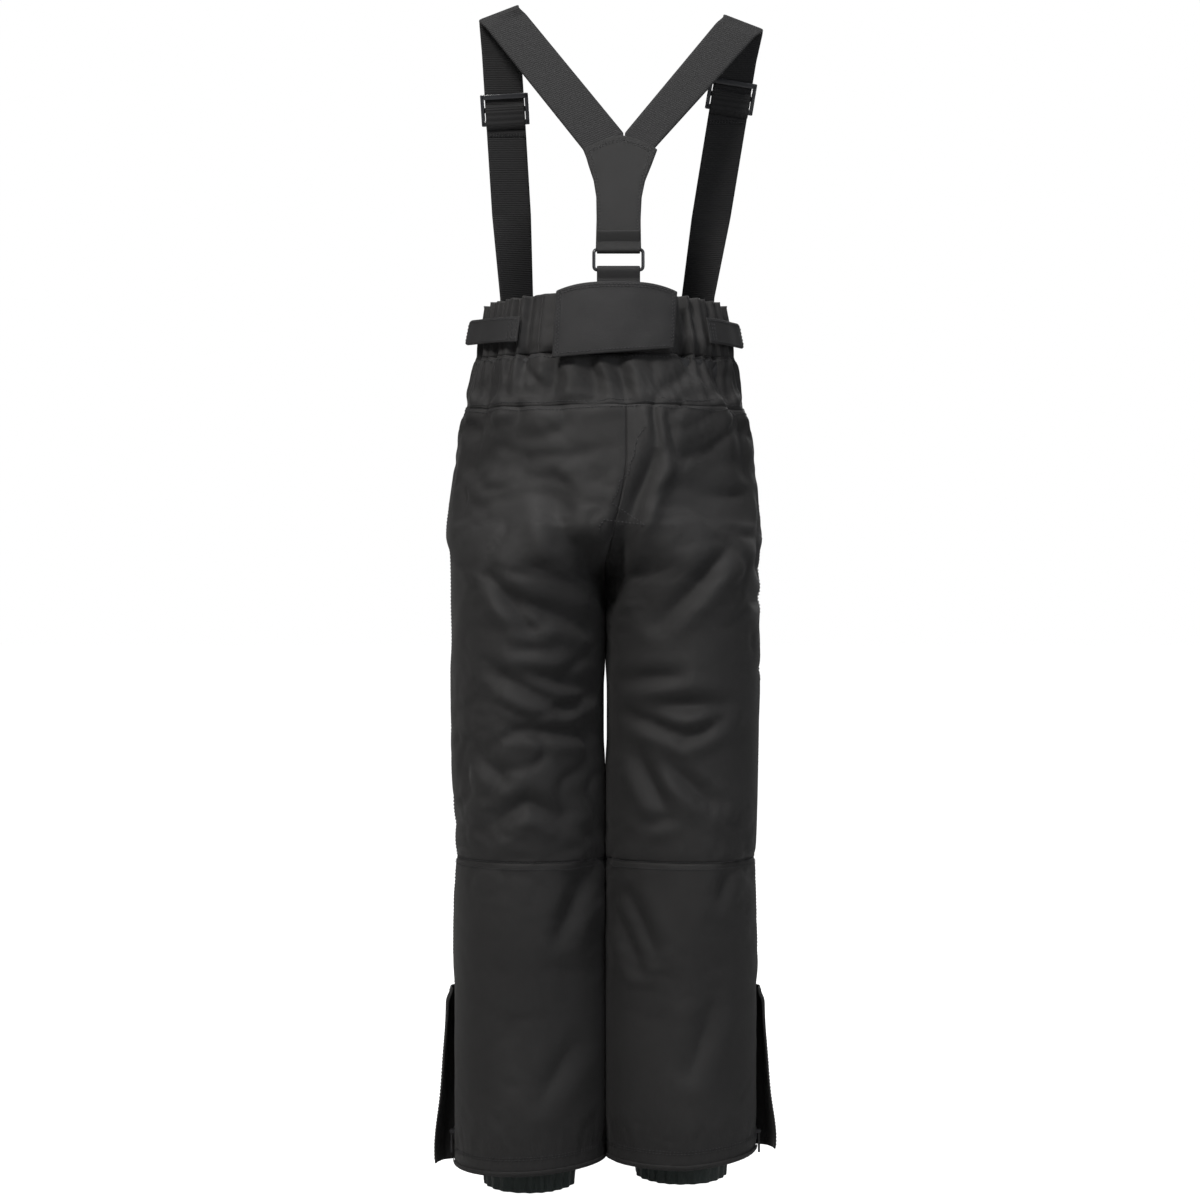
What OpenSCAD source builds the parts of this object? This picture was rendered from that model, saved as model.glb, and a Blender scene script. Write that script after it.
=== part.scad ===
// Insulated youth ski pants with elastic braces that meet in a Y at the back.
// +Z is up, -Y is the wearer's back and +X is the wearer's right.
// The origin is the centre of the waist opening, level with the waist seam.

/* [Widths] */
// How much narrower the top edge is than the waist seam
top_less = 22; // [10:1:34]
// Width across the waist seam
waist_w = 250; // [210:1:300]
// How much wider the back yoke's lower seam is than the waist seam
yoke_more = 20; // [14:1:26]
// Width across the hips
hip_w = 295; // [250:1:360]
// Width across both thighs, just under the crotch
thigh_w = 299; // [250:1:360]
// Width across both knees
knee_w = 283; // [240:1:350]
// Width across both hems
hem_w = 286; // [240:1:360]

/* [Depths] */
// Depth of the waist seam, front to back
waist_d = 172; // [145:1:210]
// Depth of the hips
hip_d = 214; // [180:1:260]
// Depth of a knee
knee_d = 178; // [150:1:215]
// Depth of a hem
hem_d = 170; // [145:1:205]

/* [Heights] */
// Height of the waist above its seam, at the back
frill_h = 56; // [45:1:68]
// How much lower the waist's front edge is
front_drop = 14; // [5:1:20]
// Height of the back yoke
yoke_h = 49; // [40:1:60]
// Waist seam to hip line
hip_drop = 160; // [130:1:190]
// Waist seam to crotch
rise = 219; // [182:1:263]
// Height over which the two legs join above the crotch
crotch_blend = 92; // [60:1:100]
// Crotch to knee seam
thigh_l = 253; // [210:1:304]
// Knee seam to hem
calf_l = 288; // [240:1:346]

/* [Cloth] */
// Thickness of the padded outer panels
panel_t = 5; // [3:0.5:6]
// Thickness of lining, gaiter and pocket cloth
lining_t = 0.8; // [0.5:0.1:1.5]
// Thickness of flaps and tabs
flap_t = 2.4; // [1.5:0.1:4]
// Gap left for a seam between two pieces
seam_gap = 0.8; // [0.4:0.1:2]
// Half the gap between the two legs
leg_gap = 1; // [0.5:0.1:3]
// Clearance between a moving flap and what it lies on
lie_gap = 0.6; // [0.4:0.1:1.5]
// Thickness of a loop patch
patch_t = 1; // [0.6:0.1:1.5]

/* [Zips] */
// Width of a zip's closed chain
chain_w = 5; // [4:0.1:6]
// Width of a zip's tape
tape_w = 22; // [18:1:26]
// Half the width of the slit that shows the chain
slit = 5.2; // [5:0.1:7]
// Length of the ankle zips
ankle_zip_l = 160; // [130:1:190]
// Length of the pocket zips
pocket_zip_l = 74; // [60:1:89]
// Height of a pocket zip's top under the waist seam
pocket_drop = 46; // [42:1:55]
// Angle of the pocket zips in front of the side seams
pocket_phi = 15; // [12:1:25]
// Length of the fly zip
fly_zip_l = 112; // [95:1:120]
// Radius of the bar that a puller swings on
puller_bar_r = 0.7; // [0.6:0.05:0.8]
// Length of a puller
puller_l = 20; // [14:1:24]

/* [Braces] */
// Width of the elastic webbing
webbing_w = 38; // [30:1:40]
// Thickness of the elastic webbing
webbing_t = 2.4; // [1.8:0.1:3]
// How far the back fitting sits to the wearer's right of centre
back_shift = 12; // [0:1:16]
// Height of the braces' top above the waist seam
shoulder_h = 337; // [300:1:400]
// How much lower the right shoulder fold is
right_lower = 9; // [0:1:12]
// Middle of the left and right shoulder folds from the centre
shoulder_x = [101, 131];
// Place of the front tabs from the centre, as shares of the half-width
front_share = [0.688, 0.72];
// Inner dimension of the back ring, across
ring_in = 42; // [38:1:46]
// Height of the back ring between its two bars' centres
ring_h = 18.6; // [16:0.2:24]
// Radius of the back ring's bars
ring_bar_r = 1.7; // [1.4:0.1:2]
// Radial running clearance between a bar and its sleeve
run_gap = 0.08; // [0.02:0.01:0.1]
// Travel height of the adjusters at rest, left and right
adjuster_z = [242, 254];

/* [Flaps] */
// Width of the back flap
back_flap_w = 114; // [95:1:120]
// Height of the back flap
back_flap_h = 67; // [60:1:72]
// Height of a waist tab
tab_h = 25; // [20:1:28]
// Width of a storm flap
storm_w = 27; // [23:1:32]
// Width of the gussets behind the ankle zips
gusset_w = 26; // [23:1:27]
// How far a storm flap flares out at the hem
storm_flare = 12; // [10:1:14]
// How far a gaiter shows below its hem, left and right
gaiter_show = [20, 12];

/* [Hidden] */

$fn = 32;
LEFT = 0;
RIGHT = 1;
cloth = "#37373a";
cloth_dark = "#2b2b2d";
elastic = "#242426";
plastic = "#3c3d41";
metal = "#8d8f93";

// Heights of the seams.
z_crotch = -rise;
z_knee = z_crotch - thigh_l;
z_hem = z_knee - calf_l;
z_ankle = z_hem + ankle_zip_l;
z_straight = z_ankle + 25;
z_pocket = -pocket_drop;
z_fly = -3;
thigh_drop = 18;

// Layers inward from the outer face.
tape_in = panel_t + 2;
facing_in = tape_in + lining_t + 0.6;
lining_in = facing_in + 3;
hem_t = 1.4;
hem_in = panel_t + 1.2;
hem_h = 22;

// Webbing and its hardware.
sleeve_t = 1.5;
sleeve_r = ring_bar_r + run_gap + sleeve_t;
tab_off = 2;
tab_t = 1.6;
closure_z = [8, 34];
closure_off = 3;
tab_z = 10;
brace_end_z = [18, 44];
adjuster_w = 46;
adjuster_h = 30;
adjuster_bar = 5;

// ---- Outline of the body: half-widths, half-depths and the join of the legs.
function ease(x) = let (c = min(1, max(0, x))) c * c * (3 - 2 * c);
function mix(a, b, t) = a + (b - a) * t;
function unit(v) = v / norm(v);

function half_w(z) = lookup(z, [
    [z_hem, hem_w / 2], [z_straight, hem_w / 2], [z_knee, knee_w / 2],
    [z_crotch - thigh_drop, thigh_w / 2], [-hip_drop, hip_w / 2],
    [-yoke_h, (waist_w + yoke_more) / 2], [0, waist_w / 2],
    [frill_h, (waist_w - top_less) / 2]
]);

// The depth has one slope above the hips, so the fly is straight.
d_slope = (hip_d - waist_d) / 2 / hip_drop;
function half_d(z) = lookup(z, [
    [z_hem, hem_d / 2], [z_straight, hem_d / 2], [z_knee, knee_d / 2],
    [-hip_drop, hip_d / 2], [100, waist_d / 2 - 100 * d_slope]
]);

function join(z) = ease((z - z_crotch) / crotch_blend);
function leg_x(z) = (1 - join(z)) * (half_w(z) + leg_gap) / (2 - join(z));

// A point on the right half: phi is 0 at the side, -90 at the back, 90 in front.
function around(phi, z, in) = [
    leg_x(z) + (half_w(z) - leg_x(z) - in) * cos(phi),
    (half_d(z) - in) * sin(phi),
    z
];

// The angle at which the right half meets the middle, or the leg closes.
function middle_phi(z, gap, in) =
    min(179.6, acos(max(-1, (gap - leg_x(z)) / (half_w(z) - leg_x(z) - in))));

function side_phi(z, gap) = asin(gap / half_d(z));
function top_z(phi) = frill_h - front_drop * (1 + sin(phi)) / 2;
function steps(a, b, n) = [for (i = [0 : n]) mix(a, b, i / n)];

// ---- Solids.
// A closed skin over a grid: f(u, v, 0) is its outer face and f(u, v, 1) its inner.
module skin(us, vs, f, ring = false) {
    nu = len(us);
    nv = len(vs);
    inner = nu * nv;
    spans = ring ? nu : nu - 1;
    function at(i, j) = j * nu + i % nu;
    function quad(a, b, c, d) = [[a, b, c], [a, c, d]];
    points = [for (k = [0, 1], v = vs, u = us) f(u, v, k)];
    walls = [for (j = [0 : nv - 2], i = [0 : spans - 1]) each concat(
        quad(at(i, j), at(i, j + 1), at(i + 1, j + 1), at(i + 1, j)),
        quad(inner + at(i, j), inner + at(i + 1, j),
             inner + at(i + 1, j + 1), inner + at(i, j + 1))
    )];
    ends = [for (i = [0 : spans - 1]) each concat(
        quad(at(i, 0), at(i + 1, 0), inner + at(i + 1, 0), inner + at(i, 0)),
        quad(at(i + 1, nv - 1), at(i, nv - 1),
             inner + at(i, nv - 1), inner + at(i + 1, nv - 1))
    )];
    sides = ring ? [] : [for (j = [0 : nv - 2]) each concat(
        quad(at(0, j + 1), at(0, j), inner + at(0, j), inner + at(0, j + 1)),
        quad(at(nu - 1, j), at(nu - 1, j + 1),
             inner + at(nu - 1, j + 1), inner + at(nu - 1, j))
    )];
    polyhedron(points, concat(walls, ends, sides));
}

// Puts what is drawn for the right side on one side.
module on(side) {
    mirror([side == LEFT ? 1 : 0, 0, 0]) children();
}

// A padded panel between two edges, each an angle as a function of z and depth.
module panel(zs, from, to, out = 0, t = panel_t, n = 12) {
    skin(steps(0, 1, n), zs, function(u, z, k)
        around(mix(from(z, out + k * t), to(z, out + k * t), u), z, out + k * t));
}

// A strip on the oval part of the body, standing off its face by off.
module strip(phis, low, high, off, t, n = 1) {
    skin(phis, steps(0, 1, n), function(phi, v, k)
        around(phi, mix(low, high, v), k * t - off - t));
}

// A flat band through pairs of edge points.
module ribbon(pairs, t) {
    last = len(pairs) - 1;
    function mid(i) = (pairs[i][0] + pairs[i][1]) / 2;
    function face(i) = unit(cross(
        pairs[i][1] - pairs[i][0], mid(min(i + 1, last)) - mid(max(i - 1, 0))));
    skin([0, 1], [for (i = [0 : last]) i], function(u, i, k)
        mix(pairs[i][0], pairs[i][1], u) + face(i) * t * (0.5 - k));
}

// ---- Outer panels.
thigh_rows = concat(
    steps(z_knee + seam_gap, z_crotch - thigh_drop, 3),
    steps(z_crotch, z_crotch + crotch_blend, 5),
    [-yoke_h - seam_gap]
);

module thigh_back(side) {
    color(cloth) on(side) panel(thigh_rows,
        function(z, in) -middle_phi(z, leg_gap, in),
        function(z, in) -side_phi(z, seam_gap / 2));
}

fly_end = z_fly - fly_zip_l;
front_rows = concat(
    [for (z = thigh_rows) if (z < fly_end - 1) z],
    [fly_end - 1, fly_end, -yoke_h, -seam_gap / 2]
);

module thigh_front(side) {
    color(cloth) on(side) difference() {
        panel(front_rows,
            function(z, in) side_phi(z, seam_gap / 2),
            function(z, in) middle_phi(z, z < fly_end ? leg_gap : slit, in));
        at_pocket() translate([-slit, -30, -pocket_zip_l])
            cube([2 * slit, 40, pocket_zip_l]);
    }
}

calf_rows = [z_hem, z_hem + 80, z_ankle, z_ankle + 1, z_straight, z_knee];

module calf(side, front) {
    turn = front ? 1 : -1;
    function edge(z) = side_phi(z, z <= z_ankle ? slit : seam_gap / 2);
    color(cloth) on(side) panel(calf_rows,
        function(z, in) front ? edge(z) : -middle_phi(z, leg_gap, in),
        function(z, in) front ? middle_phi(z, leg_gap, in) : -edge(z));
}

module back_yoke() {
    color(cloth) skin(steps(180.4, 359.6, 20), [-yoke_h, -yoke_h / 2, -seam_gap / 2],
        function(phi, z, k) around(phi, z, k * panel_t));
}

// ---- Waist.
module waist_band(from, to, t, n) {
    color(cloth) skin(steps(from, to, n), [0, 0.5, 1], function(phi, v, k)
        around(phi, mix(seam_gap / 2, top_z(phi), v), k * t));
}

module waist_elastic(side) {
    color(elastic) on(side) skin(steps(-58.6, 29.6, 10), [0, 0.5, 1], function(phi, v, k)
        around(phi, mix(seam_gap / 2, top_z(phi), v), k * panel_t));
}

module front_waistband(side) {
    on(side) waist_band(30.4, 89.4, panel_t, 6);
}

module loop_patches() {
    color(cloth_dark) {
        for (side = [LEFT, RIGHT]) on(side) {
            strip(steps(-28, -10, 3), tab_z + 3, tab_z + tab_h - 3, 0.3, patch_t);
            strip(steps(37, 55, 3), 8, 38, 0.3, patch_t);
        }
        strip(steps(262, 294, 4), 4, 22, 0.3, patch_t);
    }
}

module size_label() {
    color("#b9b9b6") strip(steps(262, 284, 3), 22, 42, -panel_t - 1, 0.4);
}

module waist_tab(side) {
    end_phi = side == LEFT ? -50 : -40;
    hook_off = patch_t + lie_gap + 0.3;
    color(cloth) on(side) {
        strip(steps(end_phi, -4, 8), tab_z, tab_z + tab_h, hook_off + 0.8, flap_t);
        strip(steps(-27, -11, 3), tab_z + 4, tab_z + tab_h - 4, hook_off - 0.1, 0.8);
    }
}

module waist_closure() {
    color(cloth) strip(steps(76, 104, 6), closure_z[0], closure_z[1],
        closure_off, flap_t);
}

snap_x = [10, 22];
module snap_at(x, off) {
    z = (closure_z[0] + closure_z[1]) / 2;
    translate([x, half_d(z) * sqrt(1 - pow(x / half_w(z), 2)) + off, z])
        rotate([-90 + atan(d_slope), 0, 0]) children();
}

module snap_studs() {
    color(metal) for (x = snap_x) snap_at(x, 0.5) {
        cylinder(r = 5, h = 0.7);
        cylinder(r = 2, h = 1.6);
    }
}

module snap_caps() {
    color(metal) for (x = snap_x) snap_at(x, closure_off + flap_t + 0.8) difference() {
        cylinder(r = 6, h = 1.8);
        translate([0, 0, 1.2]) cylinder(r = 3.6, h = 1);
    }
}

// ---- Back flap, tab, ring and braces.
flap_off = 6;
flap_top = -2 + back_flap_h;
flap_phi = asin(back_flap_w / 2 / (waist_w / 2));
flap_mid = 270 + asin(back_shift / (waist_w / 2));

module back_flap() {
    color(cloth) {
        strip(steps(flap_mid - flap_phi, flap_mid + flap_phi, 8), -2, flap_top, flap_off, flap_t, 2);
        strip(steps(264, 292, 4), 5, 21, flap_off - 1.2, 0.9);
    }
}

ring_low_z = frill_h + 20;
function back_y(z, off) = -(waist_d / 2 - z * d_slope) - off;
back_tab_off = 0.5;
ring_y = back_y(ring_low_z, back_tab_off + tab_t / 2);

// A sleeve of cloth round one of the ring's bars.
module sleeve(w) {
    rotate([0, 90, 0]) difference() {
        cylinder(r = sleeve_r, h = w, center = true);
        cylinder(r = ring_bar_r + run_gap, h = w + 2, center = true);
    }
}

module back_tab() {
    w = ring_in - 1.6;
    low_z = 30;
    high_z = ring_low_z - sleeve_r - 0.2;
    color(cloth) {
        ribbon([for (z = [low_z, frill_h, high_z]) [
            [back_shift + w / 2, back_y(z, back_tab_off + tab_t / 2), z],
            [back_shift - w / 2, back_y(z, back_tab_off + tab_t / 2), z]
        ]], tab_t);
        translate([back_shift, ring_y, ring_low_z]) sleeve(w);
    }
}

module back_ring() {
    rail = 3.2;
    color(plastic) translate([back_shift, ring_y, ring_low_z]) {
        for (z = [0, ring_h]) translate([0, 0, z]) rotate([0, 90, 0])
            cylinder(r = ring_bar_r, h = ring_in + rail, center = true);
        for (x = [-1, 1]) translate([x * (ring_in + rail) / 2, 0, 0]) {
            translate([-rail / 2, -2.2, 0]) cube([rail, 4.4, ring_h]);
            for (z = [0, ring_h]) translate([0, 0, z]) rotate([0, 90, 0])
                cylinder(r = 2.2, h = rail, center = true);
        }
    }
}

ring_high_z = ring_low_z + ring_h;
v_z = 206;
// The braces lean forward from the ring to the shoulder folds.
function lean_y(z) = ring_y * (shoulder_h - z) / (shoulder_h - ring_high_z);

v_x = 5.6;
v_side_z = v_z - 14;
// The patch's outline: height from its foot (0) to the V's sides (1), half-width.
patch_shape = [[0, 21], [0.42, 20.5], [0.62, 22], [0.78, 28], [1, 34]];

module y_patch() {
    low_z = ring_high_z + sleeve_r + 0.2;
    function edges(z, half, shift = 0) = [
        [back_shift + shift + half, lean_y(z), z], [back_shift + shift - half, lean_y(z), z]
    ];
    color(cloth) {
        ribbon(concat(
            [for (p = patch_shape) edges(mix(low_z, v_side_z, p[0]), p[1])],
            [edges(v_z, 9, v_x)]
        ), flap_t);
        translate([back_shift, ring_y, ring_high_z]) sleeve(ring_in - 1.6);
    }
}

// Edge pairs of a brace: its end behind the patch, the slanted shoulder fold
// and the stretch down to its front tab.
fold_r = 3.5;
fold_slant = 7.3;
brace_lap = 13;
function fold_z(side) = shoulder_h - (side == LEFT ? 0 : right_lower) - fold_slant;
front_phi = 46.5;
front_twist = 33;
front_off = tab_off + tab_t + 1.4;
front_low = 64;
function front_mid(side, z) = let (p = around(front_phi, z, -front_off - webbing_t / 2))
    [front_share[side] * waist_w / 2, p[1], z];

function behind(x, z, lap) = [x, lean_y(z) + lap * ((flap_t + webbing_t) / 2 + 0.3), z];

function brace_pairs(side) = let (
    half = webbing_w / 2,
    v_in = (side == LEFT ? -1 : 1) * (back_shift + v_x) + 0.5,
    v_out = (side == LEFT ? -1 : 1) * back_shift + 33,
    xs = shoulder_x[side],
    zf = fold_z(side),
    top = [xs, fold_r, zf],
    low = front_mid(side, front_low)
) concat(
    [[behind(v_in, v_z - brace_lap, 1), behind(v_out - 5, v_side_z - brace_lap, 1)]],
    [for (t = [0, 0.45, 0.93]) [
        behind(mix(v_in, xs - half, t), mix(v_z + 3, zf + fold_slant, t), 1 - t),
        behind(mix(v_out, xs + half, t), mix(v_side_z, zf - fold_slant, t), 1 - t)
    ]],
    [for (a = [150, 90, 30]) let (y = fold_r * cos(180 - a), z = zf - fold_r * (1 - sin(a)))
        [[xs - half, -y, z + fold_slant], [xs + half, -y, z - fold_slant]]],
    [for (t = [0.14, 0.4, 0.7]) let (c = mix(top, low, t))
        [[c[0] - half, c[1], c[2]], [c[0] + half, c[1], c[2]]]],
    [for (z = [front_low, brace_end_z[0]]) let (
        c = front_mid(side, z),
        w = half * [cos(front_twist), -sin(front_twist), 0]
    ) [c - w, c + w]]
);

module brace(side) {
    color(elastic) on(side) ribbon(brace_pairs(side), webbing_t);
}

module brace_tabs() {
    color(cloth) for (side = [LEFT, RIGHT]) on(side)
        strip(steps(37, 55, 3), 6, brace_end_z[1], tab_off - 0.2, tab_t);
}

// The middle of a front strap at a height, and the tilt of its straight stretch.
function strap_t(side, z) = (fold_z(side) - z) / (fold_z(side) - front_low);
function strap_mid(side, z) = mix(
    [shoulder_x[side], fold_r, fold_z(side)], front_mid(side, front_low), strap_t(side, z));
function strap_dir(side) = unit(strap_mid(side, 200) - strap_mid(side, 100));

module at_strap(side) {
    d = strap_dir(side);
    translate(strap_mid(side, adjuster_z[side]))
        rotate([asin(-d[1]), 0, 0]) rotate([0, asin(d[0]), 0]) children();
}

// Three bars: the outer two pass inside the webbing and the middle one outside.
module adjuster(side) {
    clear = webbing_t / 2 + 0.7;
    rail_x = webbing_w / 2 + 1.6;
    bar_t = 1.8;
    color(plastic) on(side) at_strap(side) {
        for (x = [-1, 1]) translate([x * (rail_x + adjuster_w / 2) / 2, 0, 0])
            cube([adjuster_w / 2 - rail_x, 2 * (clear + bar_t), adjuster_h], center = true);
        for (z = [-1, 0, 1])
            translate([0, (z == 0 ? 1 : -1) * (clear + bar_t / 2), z * (adjuster_h - adjuster_bar) / 2])
                cube([adjuster_w, bar_t, adjuster_bar], center = true);
    }
}

// ---- Zips: local +Y is outward and local +Z runs up the zip from its top end.
module at_ankle() {
    translate([hem_w / 2, 0, z_ankle]) rotate([0, 0, -90]) children();
}

module at_pocket() {
    p = around(pocket_phi, z_pocket, 0);
    q = around(pocket_phi, z_pocket - pocket_zip_l, 0);
    facing = atan2(sin(pocket_phi) / half_d(z_pocket), cos(pocket_phi) / half_w(z_pocket));
    out = (q - p) * [cos(facing), sin(facing), 0];
    translate(p) rotate([0, 0, facing - 90]) rotate([atan(out / pocket_zip_l), 0, 0]) children();
}

module at_fly() {
    translate([0, half_d(z_fly), z_fly]) rotate([atan(d_slope), 0, 0]) children();
}

module zip_tape(l) {
    color(cloth_dark) translate([-tape_w / 2, -tape_in - lining_t, -l])
        cube([tape_w, lining_t, l]);
    color(plastic) translate([-chain_w / 2, -tape_in, -l + 1])
        cube([chain_w, tape_in - 2.2, l - 2]);
}

// The pivot of a slider's puller, from the slider's middle.
pivot_y = 3;
pivot_z = 2;

module slider_body() {
    w = 2 * slit - 2.2;
    flange = 1;
    color(metal) {
        translate([-w / 2, -1.6, -5.5]) cube([w, 2.4, 11]);
        for (x = [-1, 1]) translate([x * (w - flange) / 2 - flange / 2, -3.8, -5.5])
            cube([flange, 3, 11]);
        for (x = [-1, 1]) translate([x * 2.9 - 0.6, 0.7, pivot_z - 1.6])
            cube([1.2, 3.6, 3.2]);
        translate([0, pivot_y, pivot_z]) rotate([0, 90, 0])
            cylinder(r = puller_bar_r, h = 5.8, center = true);
    }
}

module puller_body() {
    eye_r = 1.9;
    color(plastic) translate([0, pivot_y, pivot_z]) {
        difference() {
            union() {
                rotate([0, 90, 0]) cylinder(r = eye_r, h = 4, center = true);
                translate([-2, -0.7, -puller_l + 3]) cube([4, 1.4, puller_l - 3]);
            }
            rotate([0, 90, 0]) cylinder(r = puller_bar_r + run_gap, h = 6, center = true);
        }
        translate([-3, -0.9, -puller_l]) cube([6, 1.8, 11]);
    }
}

ankle_rest = -ankle_zip_l + 26;
pocket_rest = [-8, -pocket_zip_l + 8];
fly_rest = -8;

module ankle_slider(side) {
    on(side) at_ankle() translate([0, 0, ankle_rest]) slider_body();
}

module ankle_puller(side) {
    on(side) at_ankle() translate([0, 0, ankle_rest]) puller_body();
}

module pocket_slider(side) {
    on(side) at_pocket() translate([0, 0, pocket_rest[side]]) slider_body();
}

module pocket_puller(side) {
    on(side) at_pocket() translate([0, 0, pocket_rest[side]]) puller_body();
}

module ankle_gussets() {
    color(cloth_dark) for (side = [LEFT, RIGHT]) on(side) at_ankle()
        translate([-gusset_w / 2, -facing_in - lining_t, -ankle_zip_l + 3])
            cube([gusset_w, lining_t, ankle_zip_l]);
}

module fly_facing() {
    color(cloth_dark) at_fly() translate([-16, -facing_in - lining_t, -fly_zip_l])
        cube([32, lining_t, fly_zip_l]);
}

// The flap stands off the zip and flares out towards the hem.
module storm_flap(side) {
    off = pivot_y + 2.4;
    color(cloth) on(side) skin([0, 0.5, 1], steps(z_hem - 2, z_ankle + 6, 4),
        function(u, z, k) [
            hem_w / 2 + off + flap_t * (1 - k)
                + storm_flare * (1 - u) * ease((z_ankle - z) / ankle_zip_l) - 2.4 * pow(2 * u - 1, 2),
            mix(-storm_w / 2, storm_w / 2, u),
            z
        ]);
}

module pocket_bags() {
    color(cloth_dark) for (side = [LEFT, RIGHT]) on(side)
        skin(steps(8, 52, 5), steps(-150, -40, 3), function(phi, z, k)
            around(phi, z, facing_in - 0.2 + 2 * k));
}

// ---- Hems, gaiters and lining.
module hem(side) {
    color(cloth_dark) on(side) skin(steps(10, 350, 28), [z_hem, z_hem + hem_h],
        function(phi, z, k) around(phi, z, hem_in + hem_t * k));
}

gaiter_h = 92;
module gaiter_cloth(side, in, low, high) {
    mid = leg_x(z_hem);
    top_a = half_w(z_hem) - mid - lining_in - 2;
    top_b = half_d(z_hem) - lining_in - 2;
    bottom = z_hem - gaiter_show[side];
    function shrink(z) = 1 - 0.26 * ease(1 - (z - bottom) / gaiter_h);
    skin([for (i = [0 : 19]) i * 18], steps(bottom + low, bottom + high, 4),
        function(phi, z, k) [
            mid + (top_a * shrink(z) - in - lining_t * k) * cos(phi),
            (top_b * shrink(z) - in - lining_t * k) * sin(phi),
            z
        ], ring = true);
}

module gaiter(side) {
    color(cloth_dark) on(side) gaiter_cloth(side, 0, 0, gaiter_h);
}

module gaiter_elastics() {
    color(elastic) for (side = [LEFT, RIGHT]) on(side)
        gaiter_cloth(side, lining_t + 0.4, 1, 11);
}

module leg_lining(side) {
    color(cloth_dark) on(side) skin([for (i = [0 : 23]) i * 15],
        [z_hem + hem_h + 60, z_knee, z_crotch - thigh_drop, z_crotch - 2],
        function(phi, z, k) around(phi, z, lining_in + lining_t * k), ring = true);
}

module seat_lining() {
    rows = concat(steps(z_crotch + 3, z_crotch + crotch_blend, 4), [-yoke_h, -3]);
    color(cloth_dark) for (side = [LEFT, RIGHT]) on(side) panel(rows,
        function(z, in) -middle_phi(z, leg_gap, in),
        function(z, in) middle_phi(z, leg_gap, in), lining_in, lining_t, 16);
}

thigh_back(LEFT);  // left_thigh_back
thigh_back(RIGHT);  // right_thigh_back
thigh_front(LEFT);  // left_thigh_front
thigh_front(RIGHT);  // right_thigh_front
calf(LEFT, false);  // left_calf_back
calf(RIGHT, false);  // right_calf_back
calf(LEFT, true);  // left_calf_front
calf(RIGHT, true);  // right_calf_front
back_yoke();
waist_band(239.4, 300.6, panel_t, 6);  // back_waistband
waist_elastic(LEFT);  // left_waist_elastic
waist_elastic(RIGHT);  // right_waist_elastic
front_waistband(LEFT);  // left_front_waistband
front_waistband(RIGHT);  // right_front_waistband
hem(LEFT);  // left_hem
hem(RIGHT);  // right_hem
gaiter(LEFT);  // left_gaiter
gaiter(RIGHT);  // right_gaiter
gaiter_elastics();
leg_lining(LEFT);  // left_leg_lining
leg_lining(RIGHT);  // right_leg_lining
seat_lining();
pocket_bags();
on(LEFT) at_pocket() zip_tape(pocket_zip_l);  // left_pocket_zip
on(RIGHT) at_pocket() zip_tape(pocket_zip_l);  // right_pocket_zip
on(LEFT) at_ankle() zip_tape(ankle_zip_l);  // left_ankle_zip
on(RIGHT) at_ankle() zip_tape(ankle_zip_l);  // right_ankle_zip
ankle_gussets();
at_fly() zip_tape(fly_zip_l);  // fly_zip
fly_facing();
back_tab();
loop_patches();
size_label();
snap_studs();
back_flap();
back_ring();
y_patch();
brace(LEFT);  // left_brace
brace(RIGHT);  // right_brace
brace_tabs();
adjuster(LEFT);  // left_adjuster
adjuster(RIGHT);  // right_adjuster
waist_tab(LEFT);  // left_waist_tab
waist_tab(RIGHT);  // right_waist_tab
storm_flap(LEFT);  // left_storm_flap
storm_flap(RIGHT);  // right_storm_flap
ankle_slider(LEFT);  // left_ankle_slider
ankle_slider(RIGHT);  // right_ankle_slider
ankle_puller(LEFT);  // left_ankle_puller
ankle_puller(RIGHT);  // right_ankle_puller
pocket_slider(LEFT);  // left_pocket_slider
pocket_slider(RIGHT);  // right_pocket_slider
pocket_puller(LEFT);  // left_pocket_puller
pocket_puller(RIGHT);  // right_pocket_puller
at_fly() translate([0, 0, fly_rest]) slider_body();  // fly_slider
at_fly() translate([0, 0, fly_rest]) puller_body();  // fly_puller
waist_closure();
snap_caps();
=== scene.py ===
import math
import random
import bmesh
import bpy
from mathutils import Matrix, Vector, noise
from mathutils.bvhtree import BVHTree


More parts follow.
